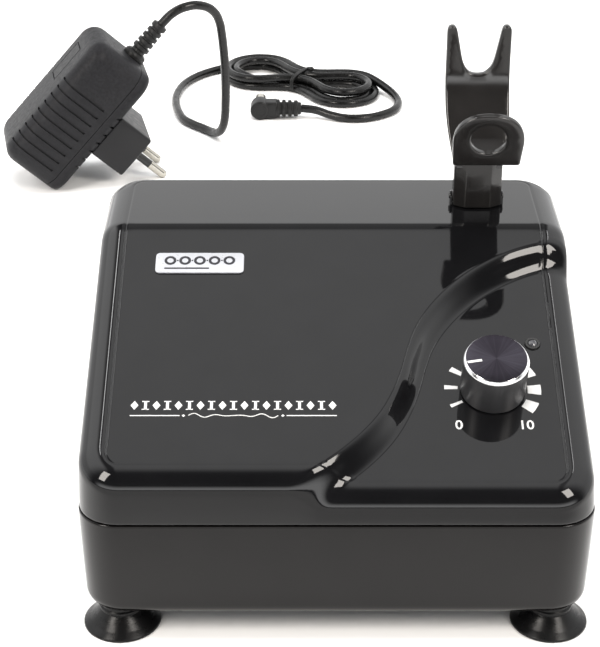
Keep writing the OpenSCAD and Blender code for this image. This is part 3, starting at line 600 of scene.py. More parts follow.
YAW, LEAN = 12.0, 47.05609539
AT = np.array([-127.5, 273.0, -1.2399092])
R_AD = (Matrix.Rotation(math.radians(YAW), 3, "Z") @ Matrix.Rotation(-math.radians(LEAN), 3, "Y"))
RA = np.array(R_AD)
EXIT = RA @ np.array([90, 3, 9.0]) + AT
HC = (-10.0, 396.0)
HA = math.radians(-30)
LOBE, LR, GAP = 25.4, 17.3, 4.33


def hank_world(x, y, z):
    return np.array([HC[0] + x * math.cos(HA) - y * math.sin(HA),
                     HC[1] + x * math.sin(HA) + y * math.cos(HA), z])


def half_width(x, o):
    t = min(1, abs(x) / LOBE)
    w = 7.3 + (LR - 7.3) * 0.5 * (1 - math.cos(math.pi * t))
    sl = (LR - 7.3) * 0.5 * math.pi / LOBE * math.sin(math.pi * t)
    return w - GAP * o * math.sqrt(1 + sl * sl)


def loop_point(f, o):
    r = LR - GAP * o
    fold, run = math.pi * r, 2 * LOBE * 1.03
    s = (f % 1.0) * 2 * (fold + run)
    if s < fold / 2:
        a = math.pi - s / r
        return -LOBE + r * math.cos(a), r * math.sin(a)
    s -= fold / 2
    if s < run:
        x = -LOBE + 2 * LOBE * s / run
        return x, half_width(x, o)
    s -= run
    if s < fold:
        a = math.pi / 2 - s / r
        return LOBE + r * math.cos(a), r * math.sin(a)
    s -= fold
    if s < run:
        x = LOBE - 2 * LOBE * s / run
        return x, -half_width(x, o)
    s -= run
    a = -math.pi / 2 - s / r
    return -LOBE + r * math.cos(a), r * math.sin(a)


def ease(a, b, t):
    t = min(1, max(0, (t - a) / (b - a)))
    return t * t * t * (t * (6 * t - 15) + 10)


def hank_points():
    out, n, z1, z2 = [], 200, 2.1, 6.5
    for i in range(int(0.02 * n), int(3.40 * n) + 1):
        tau = i / n
        o = -1 + ease(-0.03, 0.22, tau) + ease(0.97, 1.22, tau) - ease(2.70, 2.87, tau)
        z = z1 + (z2 - z1) * ease(1.80, 1.93, tau)
        x, y = loop_point(tau, o)
        k = ease(1.80, 1.98, tau)
        a = math.radians(1.6) * k
        x, y = x * math.cos(a) - y * math.sin(a) + 0.3 * k, x * math.sin(a) + y * math.cos(a)
        out.append(hank_world(x, y, z))
    return out


def walk(p, el, az, segs):
    out = [p.copy()]
    for ln, e1, a1 in segs:
        n = max(1, int(round(ln)))
        for i in range(n):
            t = (i + 0.5) / n
            e, a = math.radians(el + (e1 - el) * t), math.radians(az + (a1 - az) * t)
            p = p + ln / n * np.array([math.cos(e) * math.cos(a), math.cos(e) * math.sin(a), math.sin(e)])
            out.append(p.copy())
        el, az = e1, a1
    return out


def spaced(q, step):
    q = np.array(q)
    d = np.r_[0, np.cumsum(np.linalg.norm(np.diff(q, axis=0), axis=1))]
    s = np.linspace(0, d[-1], int(round(d[-1] / step)) + 1)
    return np.stack([np.interp(s, d, q[:, k]) for k in range(3)], 1)


def lead_route():
    H = hank_points()
    a = np.array(walk(EXIT, LEAN, YAW, [(3, LEAN, 12), (11.8, 8, 20), (25, -76, 62),
                                        (49.149, -80, 110), (26, 0, 122)]))
    a[:, 2] = np.maximum(a[:, 2], 2.1)
    F = [a[-6], a[-1], (-68.5, 342, 2.1), (-73, 355, 2.1), (-75.3, 369, 2.1), (-75, 383, 2.1),
         (-72, 396.5, 2.1), (-65.5, 408.5, 2.1), (-56.5, 417.5, 2.1), H[0], H[6]]
    fl = cr(F)[10:-10]
    end = [H[-4], H[-1], (30.5, 389.5, 5.4), (37.5, 380, 3.2), (40.5, 369, 2.1), (38, 357.5, 2.1),
           (30, 349.5, 2.1), (22, 345.5, 2.1), (12, 345.5, 2.1), (4, 348.5, 2.9), (-2, 351, 4.3),
           (-6.5, 352, 5.0), (-10, 352, 5.0)]
    tl = cr(end)[10:]
    q = spaced(np.array(list(a) + fl[1:] + list(H) + tl[1:]), 1.0)
    for _ in range(14):
        m = q.copy()
        m[1:-1] = q[1:-1] * 0.5 + (q[:-2] + q[2:]) * 0.25
        m[:3], m[-3:] = q[:3], q[-3:]
        q = m
    q[:, 2] = np.maximum(q[:, 2], 2.1)
    return q


route = lead_route()
pts = spaced(route, 7.5)
cu = bpy.data.curves.new("dc_cable", "CURVE")
cu.dimensions = "3D"
cu.resolution_u = 6
cu.bevel_depth = 0.0021
cu.bevel_resolution = 5
cu.use_fill_caps = True
sp_ = cu.splines.new("BEZIER")
sp_.bezier_points.add(len(pts) - 1)
for bp_, p in zip(sp_.bezier_points, pts):
    bp_.co = tuple(p / 1000)
    bp_.handle_left_type = bp_.handle_right_type = "AUTO"
cu.materials.append(pvc_mat)
cable = bpy.data.objects.new("dc_cable", cu)
bpy.context.scene.collection.objects.link(cable)
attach(cable, "root")
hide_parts("dc_lead", "lead_hank", "lead_tail")

# ------------------------------------------------------------------ case: heights of the top
TAN = math.tan(math.radians(20.589))
COS = math.cos(math.radians(20.589))
YF, YR, BEND, DECK, FRONT_Z = -74.0, 62.0, 20.5, 92.0, 56.5
STEP = [(-14.4, -77.6), (-8.4, -73.6), (-2.4, -69.3), (3.8, -64.5), (10.2, -58.2), (15.4, -51.4), (19.4, -43.7),
        (22.2, -36), (24.4, -28), (27.4, -20), (32, -12.5), (38, -5.5), (45.5, 1), (55, 6.8),
        (65, 10.6), (76, 12.6), (90, 14)]
step_line = spaced(np.array([(p[0], p[1], 0) for p in cr([np.array(p) for p in STEP], 12)]), 0.5)[:, :2]
step_tan = np.gradient(step_line, axis=0)
step_tan /= np.linalg.norm(step_tan, axis=1)[:, None]
step_nor = np.stack([step_tan[:, 1], -step_tan[:, 0]], 1)  # towards the control area
STEP_W = 3.1


def step_dist(P):
    """Signed distance of points from the step's curve, positive on the control area's side."""
    P = np.asarray(P, float).reshape(-1, 2)
    out = np.empty(len(P))
    for s in range(0, len(P), 3000):
        q = P[s:s + 3000]
        d2 = ((q[:, None] - step_line[None]) ** 2).sum(2)
        i = d2.argmin(1)
        v = q - step_line[i]
        along = (v * step_tan[i]).sum(1)
        side = (v * step_nor[i]).sum(1)
        away = np.sqrt(np.maximum(d2[np.arange(len(q)), i], 0))
        inner = (i > 0) & (i < len(step_line) - 1)
        out[s:s + 3000] = np.where(inner, side, np.sign(side) * away)
    return out


def fall(s):
    """0 on the main panel, 1 on the control area: rounded at the top, hollow at the foot."""
    t = np.clip((s + STEP_W) / (2 * STEP_W), 0, 1)
    a, b = 0.46, 0.50
    # a straight slope between two arcs
    m = 1 / (1 - (a + b) / 2)
    y = np.where(t < a, m * t * t / (2 * a), np.where(t > 1 - b, 1 - m * (1 - t) ** 2 / (2 * b), m * (t - a / 2)))
    return np.clip(y, 0, 1)


def top_z(P):
    P = np.asarray(P, float).reshape(-1, 2)
    s = P[:, 1] - BEND
    w = 2.2
    z = np.where(s >= w, 0.0, np.where(s <= -w, s * TAN, -TAN * (w - s) ** 2 / (4 * w)))
    drop = 5.5 / COS * fall(step_dist(P))
    return DECK + z - drop


def outline(hx, y0, y1, r, ins=0.0, spacing=1.25, corner=15, count=None):
    """A rounded rectangle, anticlockwise, with the same number of points whatever the inset."""
    out = []
    rr = max(r - ins, 0.01)
    x0, x1, a0, a1 = -hx + r, hx - r, y0 + r, y1 - r
    nx, ny = count or (max(1, int((x1 - x0) / spacing)), max(1, int((a1 - a0) / spacing)))

    def arc(cx, cy, s):
        return [(cx + rr * math.cos(math.radians(s + 90 * i / corner)),
                 cy + rr * math.sin(math.radians(s + 90 * i / corner))) for i in range(corner + 1)]

    def line(p, q, n):
        return [(p[0] + (q[0] - p[0]) * i / n, p[1] + (q[1] - p[1]) * i / n) for i in range(1, n)]

    out += arc(x1, a0, -90)
    out += line(out[-1], (x1 + rr, a1), ny)
    out += arc(x1, a1, 0)
    out += line(out[-1], (x0, a1 + rr), nx)
    out += arc(x0, a1, 90)
    out += line(out[-1], (x0 - rr, a0), ny)
    out += arc(x0, a0, 180)
    out += line(out[-1], (x1, a0 - rr), nx)
    return out


TOP = (74.2, -73.7, 61.5, 12.0)
SEAM = (74.7, -74.0, 62.0, 12.0)
FINE = (100, 90)
EDGE = 5.2
SEAM_Z = 41.5


K = np.array([46.6, -36.4, 64.75])
N = np.array([0, -0.351666, 0.936125])
LED_XY = (60.0, -19.9)


def circle_on_panel(cx, cy, r, n=40):
    return [(cx + r * math.cos(2 * math.pi * i / n), cy + COS * r * math.sin(2 * math.pi * i / n))
            for i in range(n)]


def edge_normals(corner=15):
    """Outward normals of the points that outline() gives for the case."""
    nx, ny = FINE
    out = []
    for s0, n in ((-90, ny), (0, nx), (90, ny), (180, nx)):
        out += [math.radians(s0 + 90 * i / corner) for i in range(corner + 1)]
        out += [math.radians(s0 + 90)] * (n - 1)
    return np.array([(math.cos(a), math.sin(a)) for a in out])


def build_top():
    verts, faces = [], []

    def ring(pts, zs):
        s = len(verts)
        verts.extend([(p[0], p[1], float(z)) for p, z in zip(pts, zs)])
        return list(range(s, s + len(pts)))

    def bridge(a, b):
        n = len(a)
        for i in range(n):
            j = (i + 1) % n
            faces.append((a[i], a[j], b[j], b[i]))

    base = outline(count=FINE, *TOP)
    nor = edge_normals()
    wide = EDGE + 2.5 * nor[:, 0] ** 2

    def at(u):
        return [tuple(q) for q in np.array(base) - nor * u[:, None]]
    edge_z = top_z(base)
    # wall from the seam up
    rows = []
    low = outline(count=FINE, *SEAM)
    n = min(len(low), len(base))
    assert len(low) == len(base), (len(low), len(base))
    ztop = edge_z - EDGE
    rows.append(ring(inset(low, 0.45), [SEAM_Z + 0.12] * n))
    rows.append(ring(inset(low, 0.12), [SEAM_Z + 0.28] * n))
    rows.append(ring(low, [SEAM_Z + 0.6] * n))
    rows.append(ring(low, [SEAM_Z + 1.0] * n))
    for t in (0.5, 0.93):
        p = [(a[0] + (b[0] - a[0]) * t, a[1] + (b[1] - a[1]) * t) for a, b in zip(low, base)]
        rows.append(ring(p, (SEAM_Z + 1.0) * (1 - t) + ztop * t))
    k = 12
    for q in range(k + 1):
        a = math.pi / 2 * q / k
        dep = EDGE * (1 - math.sin(a))
        pts = at(wide * (1 - math.cos(a)))
        rows.append(ring(pts, top_z(pts) - dep))
    depth = 0.05 + 0.09 * nor[:, 0] ** 2
    for du, dz in ((0.18, 0.6), (0.36, 1.0), (0.54, 0.6), (0.75, 0.0), (1.15, 0.0)):
        pts = at(wide + du)
        rows.append(ring(pts, top_z(pts) - depth * dz))
    for a, b in zip(rows[:-1], rows[1:]):
        bridge(a, b)
    # the top itself
    bound = pts
    knob_hole = circle_on_panel(K[0], K[1], 3.6)
    led_hole = circle_on_panel(LED_XY[0], LED_XY[1], 2.0, 28)
    extra = []
    for s in np.concatenate([[-STEP_W - 1.6, -STEP_W - 0.6], np.linspace(-STEP_W, STEP_W, 19),
                             [STEP_W + 0.6, STEP_W + 1.6]]):
        extra.append(step_line[::2] + step_nor[::2] * s)
    for dy in (-3.2, -2.2, -1.65, -1.1, -0.55, 0, 0.55, 1.1, 1.65, 2.2, 3.2):
        extra.append(np.array([(x, BEND + dy) for x in np.arange(-66, 66.1, 3.0)]))
    for c, r in (((K[0], K[1]), 4.4), ((LED_XY[0], LED_XY[1]), 2.6)):
        extra.append(np.array(circle_on_panel(*c, r, 32)))
    E = np.concatenate(extra)
    G = np.array([(x, y) for x in np.arange(-66, 67, 5.5) for y in np.arange(-66, 56, 5.5)])
    G = G[(np.abs(step_dist(G)) > STEP_W + 3) & (np.abs(G[:, 1] - BEND) > 4)]
    P = np.concatenate([E, G])
    inner = at(wide + 1.5)
    ok = inside_many(P, inner)
    for c, r in (((K[0], K[1]), 3.9), ((LED_XY[0], LED_XY[1]), 2.25)):
        ok &= ((P[:, 0] - c[0]) ** 2 + ((P[:, 1] - c[1]) / COS) ** 2) > r * r
    P = P[ok]
    v2, tri = fill([bound, knob_hole, led_hole], P)
    z = top_z(v2)
    s = len(verts)
    verts.extend([(p[0], p[1], float(h)) for p, h in zip(v2, z)])
    faces.extend([tuple(s + i for i in t) for t in tri])
    return verts, faces


v, f = build_top()
top = put("case_top", v, f, case_top_mat, None, angle=50)
md = top.modifiers.new("wall", "SOLIDIFY")
md.thickness = 0.0022
md.offset = -1
md.use_even_offset = False
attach(top, "root")
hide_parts("top_case")


# ------------------------------------------------------------------ lower case
def build_bottom():
    verts, faces = [], []
    hi, lo_ = (75.0, -74.0, 62.0, 12.0), (74.3, -73.3, 61.3, 12.0)
    cnt = (30, 26)
    n = len(outline(*hi, count=cnt))
    rows = []

    def ring(p, z):
        s = len(verts)
        verts.extend([(q[0], q[1], z) for q in p])
        rows.append(list(range(s, s + n)))

    def mix(t, ins):
        pa, pb = outline(*hi, ins=ins, count=cnt), outline(*lo_, ins=ins, count=cnt)
        return [(p[0] + (q[0] - p[0]) * t, p[1] + (q[1] - p[1]) * t) for p, q in zip(pa, pb)]

    top_z_, bot_z = SEAM_Z - 0.12, 9.0
    ring(mix(0, 0.45), top_z_)
    ring(mix(0, 0.12), top_z_ - 0.16)
    ring(mix(0, 0), top_z_ - 0.5)
    ring(mix(0.01, 0), top_z_ - 0.9)
    ring(mix(0.5, 0), 25.0)
    er = 4.2
    ring(mix(0.97, 0), bot_z + er + 0.8)
    for q in range(10):
        t = math.pi / 2 * q / 9
        ring(mix(1, er * (1 - math.cos(t))), bot_z + er * (1 - math.sin(t)))
    ring(mix(1, er + 0.6), bot_z)
    for p, q in zip(rows[:-1], rows[1:]):
        for i in range(n):
            j = (i + 1) % n
            faces.append((p[i], p[j], q[j], q[i]))
    bound = mix(1, er + 0.6)
    holes = []
    for sx in (-50, 50):
        for sy in (-62, 50):
            holes.append([(sx + 3.2 * math.cos(2 * math.pi * i / 28), sy + 3.2 * math.sin(2 * math.pi * i / 28))
                          for i in range(28)])
    for i in range(6):
        x = -12 + i * 6
        holes.append(round_poly([(x, -26), (x + 2.4, -26), (x + 2.4, -12), (x, -12)], 1.15, 6))
    G = [(x, y) for x in range(-66, 67, 12) for y in range(-66, 56, 12)
         if all((abs(x - h[0][0]) > 6 or abs(y - h[0][1]) > 6) for h in holes) and not (-18 < x < 24 and -32 < y < -6)]
    v2, tri = fill([bound] + holes, G)
    s = len(verts)
    verts.extend([(p[0], p[1], bot_z) for p in v2])
    faces.extend([tuple(s + i for i in t) for t in tri])
    return verts, faces


v, f = build_bottom()
bot = put("case_bottom", v, f, case_low_mat, None, angle=50)
md = bot.modifiers.new("wall", "SOLIDIFY")
md.thickness = 0.0022
md.offset = -1
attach(bot, "root")
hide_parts("bottom_case")

# lip behind the seam
lip_o = outline(72.2, -71.2, 59.2, 9.4, spacing=6)
lip_i = outline(71.0, -70.0, 58.0, 8.2, spacing=6)
v, f = plate(lip_o, [lip_i], lambda x, y: 37.5, lambda x, y: 43.0, r=0.2, step=30, k=2)
lip = put("case_lip", v, f, case_low_mat, "root")

# ears of the hinge
ears = []
for x in (38.72, 55.28):
    shape = [(-2.1, 91.6), (2.1, 91.6)] + [(1.8 * math.cos(a), 94.1 + 1.8 * math.sin(a))
                                          for a in [math.pi * i / 14 for i in range(15)]]
    shape = densify(shape, 1.0)
    hole = [(1.05 * math.cos(2 * math.pi * i / 20), 94.3 + 1.05 * math.sin(2 * math.pi * i / 20)) for i in range(20)]
    ears.append(plate(shape, [hole], lambda p, q, x=x: x - 0.38, lambda p, q, x=x: x + 0.38, r=0.15,
                      step=2.2, k=3, place=lambda p, q, h: (h, 39 + p, q)))
v, f = join(*ears)
pin_c = [(39 + 1.0 * math.cos(2 * math.pi * i / 28), 94.3 + 1.0 * math.sin(2 * math.pi * i / 28)) for i in range(28)]
pv_, pf_ = plate(pin_c, [], lambda p, q: 38.1, lambda p, q: 55.9, r=0.2, step=2, k=2, place=lambda p, q, h: (h, p, q))
hpin = put("hinge_pin", pv_, pf_, dark_plastic, "root")
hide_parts("holder_pin")
ear = put("hinge_ears", v, f, case_top_mat, "root")

# ------------------------------------------------------------------ suction feet
cup = rounded([(0, 3.2), (3.6, 3.0), (7.4, 1.7), (10.9, 0.02), (11.6, 0.25), (11.45, 0.95), (9.6, 2.3),
               (7.9, 3.9), (6.7, 5.2), (6.15, 5.7), (6.7, 6.1), (6.7, 6.9), (6.15, 7.3), (6.15, 8.95),
               (3.0, 8.95), (3.0, 11.55), (4.6, 11.55), (4.0, 13.3), (0, 13.3)],
              [0, 2, 3, 0.2, 0.3, 0.4, 3, 3, 1.2, 0.3, 0.3, 0.3, 0.3, 0.3, 0, 0, 0.2, 0.3, 0], 4)
cups = [moved(lathe(cup, 72), Matrix.Translation((sx * 64, y, 0))) for sx in (-1, 1) for y in (-63, 51)]
v, f = join(*cups)
feet = put("suction_cups", v, f, rubber_mat, "root")
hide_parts("suction_feet")

# ------------------------------------------------------------------ control area
TILT = Matrix.Rotation(math.radians(20.589), 4, "X")


def panel_matrix(x, y, off, lift=0.0):
    z = FRONT_Z + (y - YF) * TAN + off / COS
    p = Vector((x, y, z)) + lift * Vector((0, -0.351666, 0.936125))
    return Matrix.Translation(p * 0.001) @ TILT


at_knob = panel_matrix(46.6, -36.4, -5.5)
side = rounded([(4.5, 12.0), (4.5, 4.6), (7.0, 4.6), (7.0, 0.45), (9.72, 0.45), (9.72, 13.2)],
               [0, 0.2, 0.2, 0.2, 0.3, 0], 3)
rim = [(9.72, 13.2), (9.7, 13.28), (9.08, 14.14), (8.98, 14.2)]
face = [(8.98, 14.2), (8.9, 14.17), (5, 14.165), (2, 14.16), (0, 14.155)]
under = [(0, 12.0), (4.5, 12.0)]
v1, f1 = lathe(side, 128)
v2_, f2 = lathe(rim, 128)
v3, f3 = lathe(face, 128)
v4, f4 = lathe(under, 128)
v, f = join((v1, f1), (v2_, f2), (v3, f3), (v4, f4))
mi = [0] * len(f1) + [1] * len(f2) + [2] * len(f3) + [0] * len(f4)
knob = put("speed_knob", v, f, [knob_side, knob_rim, knob_face], None, where=at_knob, face_mats=mi, angle=25)
turned = knob.data.attributes.new("turned", "FLOAT_VECTOR", "POINT")
turned.data.foreach_set("vector", [c for q in knob.data.vertices for c in (q.co.x * 1000, q.co.y * 1000, 0.0)])
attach(knob, "knob")
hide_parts("knob")

# dial marks
marks = []
for i in range(9):
    a = math.radians(207 - i * 29.75)
    half = (0.5 + i * 0.17) / 12.4
    lp = [(r * math.cos(a + s), r * math.sin(a + s)) for r, ss in ((10.4, 1), (14.4, -1))
          for s in [ss * half * (1 - q / 3) for q in range(0, 7)]]
    marks.append(plate(lp, [], lambda x, y: -0.01, lambda x, y: 0.09, r=0.03, step=3, k=2))
v, f = join(*marks)
dial = put("dial_marks", v, f, white_mat, "root", where=at_knob)
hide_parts("dial_scale")
for word, x in (("0", -10.8), ("10", 8.9)):
    tc = bpy.data.curves.new("numeral_" + word, "FONT")
    tc.body = word
    tc.size = 0.0046
    tc.align_x = "CENTER"
    tc.align_y = "CENTER"
    tc.extrude = 0.00004
    tc.offset = 0.00006
    tc.materials.append(white_mat)
    to = bpy.data.objects.new("numeral_" + word, tc)
    bpy.context.scene.collection.objects.link(to)
    to.matrix_world = at_knob @ Matrix.Translation((x * 0.001, -0.0137, 0.00004))
    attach(to, "root")

# printed ornament on the main panel, in place of wording
at_print = panel_matrix(-30.0, -51.5, 0.0)
orn = []


def bar(x0, y0, x1, y1, h=0.09, r=0.03):
    return plate([(x0, y0), (x1, y0), (x1, y1), (x0, y1)], [], lambda x, y: -0.01, lambda x, y: h, r=r,
                 step=50, k=1)


def diamond(cx, cy, rx, ry):
    return plate([(cx + rx, cy), (cx, cy + ry), (cx - rx, cy), (cx, cy - ry)], [], lambda x, y: -0.01,
                 lambda x, y: 0.09, r=0.03, step=50, k=1)


for i in range(-9, 10):
    cx = i * 3.2
    if i % 2:
        orn.append(diamond(cx, 3.4, 1.15, 1.65))
    else:
        orn.append(bar(cx - 0.42, 1.75, cx + 0.42, 5.05))
        orn.append(bar(cx - 1.05, 1.75, cx + 1.05, 2.1))
        orn.append(bar(cx - 1.05, 4.7, cx + 1.05, 5.05))
orn.append(bar(-30, -0.55, -15.5, -0.2))
orn.append(bar(15.5, -0.55, 30, -0.2))
wave = [(-13 + 26 * i / 60, -0.38 + 0.85 * math.sin(i / 60 * 8 * math.pi) * (0.55 + 0.45 * math.cos(i / 60 * 2 * math.pi)), 0.03)
        for i in range(61)]
orn.append(tube(wave, 0.16, 8))
for s in (-14.4, 14.4):
    orn.append(diamond(s, -0.38, 0.5, 0.5))
v, f = join(*orn)
prt = put("front_ornament", v, f, white_mat, "root", where=at_print)
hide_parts("front_print")

# badge
at_badge = panel_matrix(-41.95, 4.75, 0.0)
lp = densify(round_poly([(-13.8, -4.25), (13.8, -4.25), (13.8, 4.25), (-13.8, 4.25)], 1.6, 7), 1.5)
v1, f1 = plate(lp, [], lambda x, y: 0.0, lambda x, y: 0.62, r=0.22, step=3.5, k=4)
inks = []
for i in range(5):
    cx, rr = -9.2 + i * 4.6, 1.85
    co_ = [(cx + rr * math.cos(2 * math.pi * q / 40), 0.85 + rr * math.sin(2 * math.pi * q / 40)) for q in range(40)]
    ci_ = [(cx + (rr - 0.85) * math.cos(2 * math.pi * q / 40), 0.85 + (rr - 0.85) * math.sin(2 * math.pi * q / 40)) for q in range(40)]
    inks.append(plate(co_, [ci_], lambda x, y: 0.55, lambda x, y: 0.70, r=0.04, step=30, k=1))
    if i < 4:
        inks.append(plate([(cx + 2.05, 0.6), (cx + 2.55, 0.6), (cx + 2.55, 1.1), (cx + 2.05, 1.1)], [],
                          lambda x, y: 0.55, lambda x, y: 0.70, r=0.04, step=30, k=1))
inks.append(plate(round_poly([(-11.0, -2.75), (3.0, -2.75), (3.0, -2.2), (-11.0, -2.2)], 0.25, 4), [],
                  lambda x, y: 0.55, lambda x, y: 0.72, r=0.05, step=30, k=2))
vi, fi = join(*inks)
v, f = join((v1, f1), (vi, fi))
badge = put("plain_badge", v, f, [badge_mat, badge_ink], "root", where=at_badge,
            face_mats=[0] * len(f1) + [1] * len(fi))
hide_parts("badge")

# ------------------------------------------------------------------ airbrush holder
HX = 47.0


def interp(tab):
    xs = [a for a, _ in tab]
    ys = [b for _, b in tab]

    def g(z):
        if z <= xs[0]:
            return ys[0] + (z - xs[0]) * (ys[1] - ys[0]) / (xs[1] - xs[0])
        if z >= xs[-1]:
            return ys[-1]
        i = max(k for k in range(len(xs)) if xs[k] <= z)
        i = min(i, len(xs) - 2)
        x0, x1, y0, y1 = xs[i], xs[i + 1], ys[i], ys[i + 1]
        m0 = (y1 - ys[i - 1]) / (x1 - xs[i - 1]) if i else (y1 - y0) / (x1 - x0)
        m1 = (ys[i + 2] - y0) / (xs[i + 2] - x0) if i + 2 < len(xs) else (y1 - y0) / (x1 - x0)
        t = (z - x0) / (x1 - x0)
        h = x1 - x0
        return ((2 * t ** 3 - 3 * t * t + 1) * y0 + (t ** 3 - 2 * t * t + t) * h * m0
                + (-2 * t ** 3 + 3 * t * t) * y1 + (t ** 3 - t * t) * h * m1)
    return g


front_y = interp([(107, 35.7), (111, 38.4), (115.5, 41.8), (119.3, 44.9), (122.3, 47.3), (125.0, 49.2), (127.6, 50.5), (130.2, 51.3), (133.0, 51.75), (137, 51.9), (148, 51.9)])
back_y = interp([(106, 38.2), (110, 41.1), (114, 44.2), (118, 47.4), (121.3, 50.1), (124.3, 52.1), (127.2, 53.5), (130.2, 54.4), (133.2, 54.8), (137, 54.9), (148, 54.9)])
half = [(8.3, 106.5), (8.6, 109), (9.3, 112.5), (9.9, 116), (10.25, 119.5), (10.4, 123), (10.4, 128), (10.4, 140),
        (10.4, 145.2), (10.15, 146.6), (9.5, 147.35), (8.8, 147.55), (8.1, 147.4), (7.5, 146.8), (7.05, 145.7),
        (6.4, 142.5), (5.75, 139.2), (5.25, 136.8), (4.6, 134.7), (3.7, 133.1), (2.5, 131.95), (1.3, 131.5), (0, 131.4)]
hs = cr([np.array(p) for p in half], 4)
fork = [(p[0], p[1]) for p in hs] + [(-p[0], p[1]) for p in hs[::-1][1:]]
fork = densify(fork, 0.9)
fork_part = plate(fork, [], lambda x, z: front_y(z), lambda x, z: back_y(z), r=0.75, step=1.3, k=4,
                  place=lambda x, z, h: (HX + x, h, z))
# eye plate, leaning forward
ea = math.radians(15.6)
eye_m = Matrix.Translation((HX + 0.4, 16.3, 114.2)) @ Matrix.Rotation(ea, 4, "X")


def arch(a, w=11.0, h=10.3, e=0.86):
    c_, s_ = math.cos(a), math.sin(a)
    return w * math.copysign(abs(c_) ** e, c_), 8.5 + h * abs(s_) ** e


ey = [(-10.6, 0.0), (10.3, 0.0), (11.0, 8.5)] + [arch(math.pi * i / 44) for i in range(1, 44)] + [(-11.0, 8.5)]
ey = round_poly(ey, [1.0, 1.0] + [0] * (len(ey) - 2), 5)
ey = densify(ey, 1.0)
eh = [(-0.1 + 5.45 * math.cos(2 * math.pi * i / 56), 10.0 + 5.45 * math.sin(2 * math.pi * i / 56)) for i in range(56)]
eye_part = moved(plate(ey, [eh], lambda x, y: -2.3, lambda x, y: 0.0, r=0.6, step=2.2, k=4,
                       place=lambda x, y, h: (x, -h, y)), eye_m)
# web between the eye plate and the strip
wb = round_poly([(17.2, 115.1), (24.0, 114.0), (39.5, 109.0), (41.0, 110.5), (39.0, 114.3), (17.2, 117.2)], 0.4, 3)
web_part = plate(wb, [], lambda p, q: -7.8, lambda p, q: 7.8, r=0.6, step=4, k=3,
                 place=lambda p, q, h: (HX + h, p, q))
# post with a folded front
po = round_poly([(-4, 33), (4, 33), (7.8, 35.4), (7.8, 40.9), (-7.8, 40.9), (-7.8, 35.4)],
                [1.0, 1.0, 0.9, 0.6, 0.6, 0.9], 5)
po = densify(po, 1.6)
post_part = plate(po, [], lambda x, y: 92.32, lambda x, y: 110.6, r=0.5, step=3, k=3,
                  place=lambda x, y, h: (HX + x, y, h))
gusset = round_poly([(33.6, 106), (40.6, 106), (43.2, 112.8), (41.0, 114.0), (36.0, 111.2)], 0.5, 3)
gus_part = plate(gusset, [], lambda p, q: -7.6, lambda p, q: 7.6, r=0.5, step=4, k=3,
                 place=lambda p, q, h: (HX + h, p, q))
bar_c = [(39 + 1.95 * math.cos(2 * math.pi * i / 32), 94.3 + 1.95 * math.sin(2 * math.pi * i / 32)) for i in range(32)]
bar_part = plate(bar_c, [], lambda p, q: -7.95, lambda p, q: 7.95, r=0.3, step=3, k=3,
                 place=lambda p, q, h: (HX + h, p, q))
v, f = join(fork_part, eye_part, web_part, post_part, gus_part, bar_part)
holder = put("airbrush_holder", v, f, holder_mat, "holder", angle=40)
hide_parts("holder")

# ------------------------------------------------------------------ mains adapter
AD = Matrix.Translation(Vector(AT) * 0.001) @ R_AD.to_4x4()


def ring_box(x0, x1, hw_, z0, z1, rc, rb, rt, g=0.0, k=8, spacing=3.0):
    """A box with upright corners rc, lower edge rb and upper edge rt, all set in by g."""
    def o(ins):
        c = (x0 + x1) / 2
        p = outline((x1 - x0) / 2, -hw_, hw_, rc, ins=ins + g, spacing=spacing, corner=10)
        return [(a + c, b) for a, b in p]
    verts, faces, rows = [], [], []

    def ring(p, z):
        s = len(verts)
        verts.extend([(q[0], q[1], z) for q in p])
        rows.append(list(range(s, s + len(p))))
    rb_, rt_ = max(rb - g, 0.2), max(rt - g, 0.2)
    for q in range(k + 1):
        a = math.pi / 2 * q / k
        ring(o(rb_ * (1 - math.sin(a))), z0 + g + rb_ * (1 - math.cos(a)))
    ring(o(0), z0 + g + rb_ + 0.5)
    ring(o(0), z1 - g - rt_ - 0.5)
    for q in range(k + 1):
        a = math.pi / 2 * q / k
        ring(o(rt_ * (1 - math.cos(a))), z1 - g - rt_ * (1 - math.sin(a)))
    for a, b in zip(rows[:-1], rows[1:]):
        n = len(a)
        for i in range(n):
            j = (i + 1) % n
            faces.append((a[i], a[j], b[j], b[i]))
    faces.append(tuple(rows[0])[::-1])
    faces.append(tuple(rows[-1]))
    return verts, faces


def box_part(x0, x1, y0, y1, z0, z1):
    v = [(x, y, z) for x in (x0, x1) for y in (y0, y1) for z in (z0, z1)]
    f = [(0, 1, 3, 2), (4, 6, 7, 5), (0, 4, 5, 1), (2, 3, 7, 6), (0, 2, 6, 4), (1, 5, 7, 3)]
    return v, f


def solid(name, part, mat_, where):
    return put(name, part[0], part[1], mat_, None, where=where, angle=30)


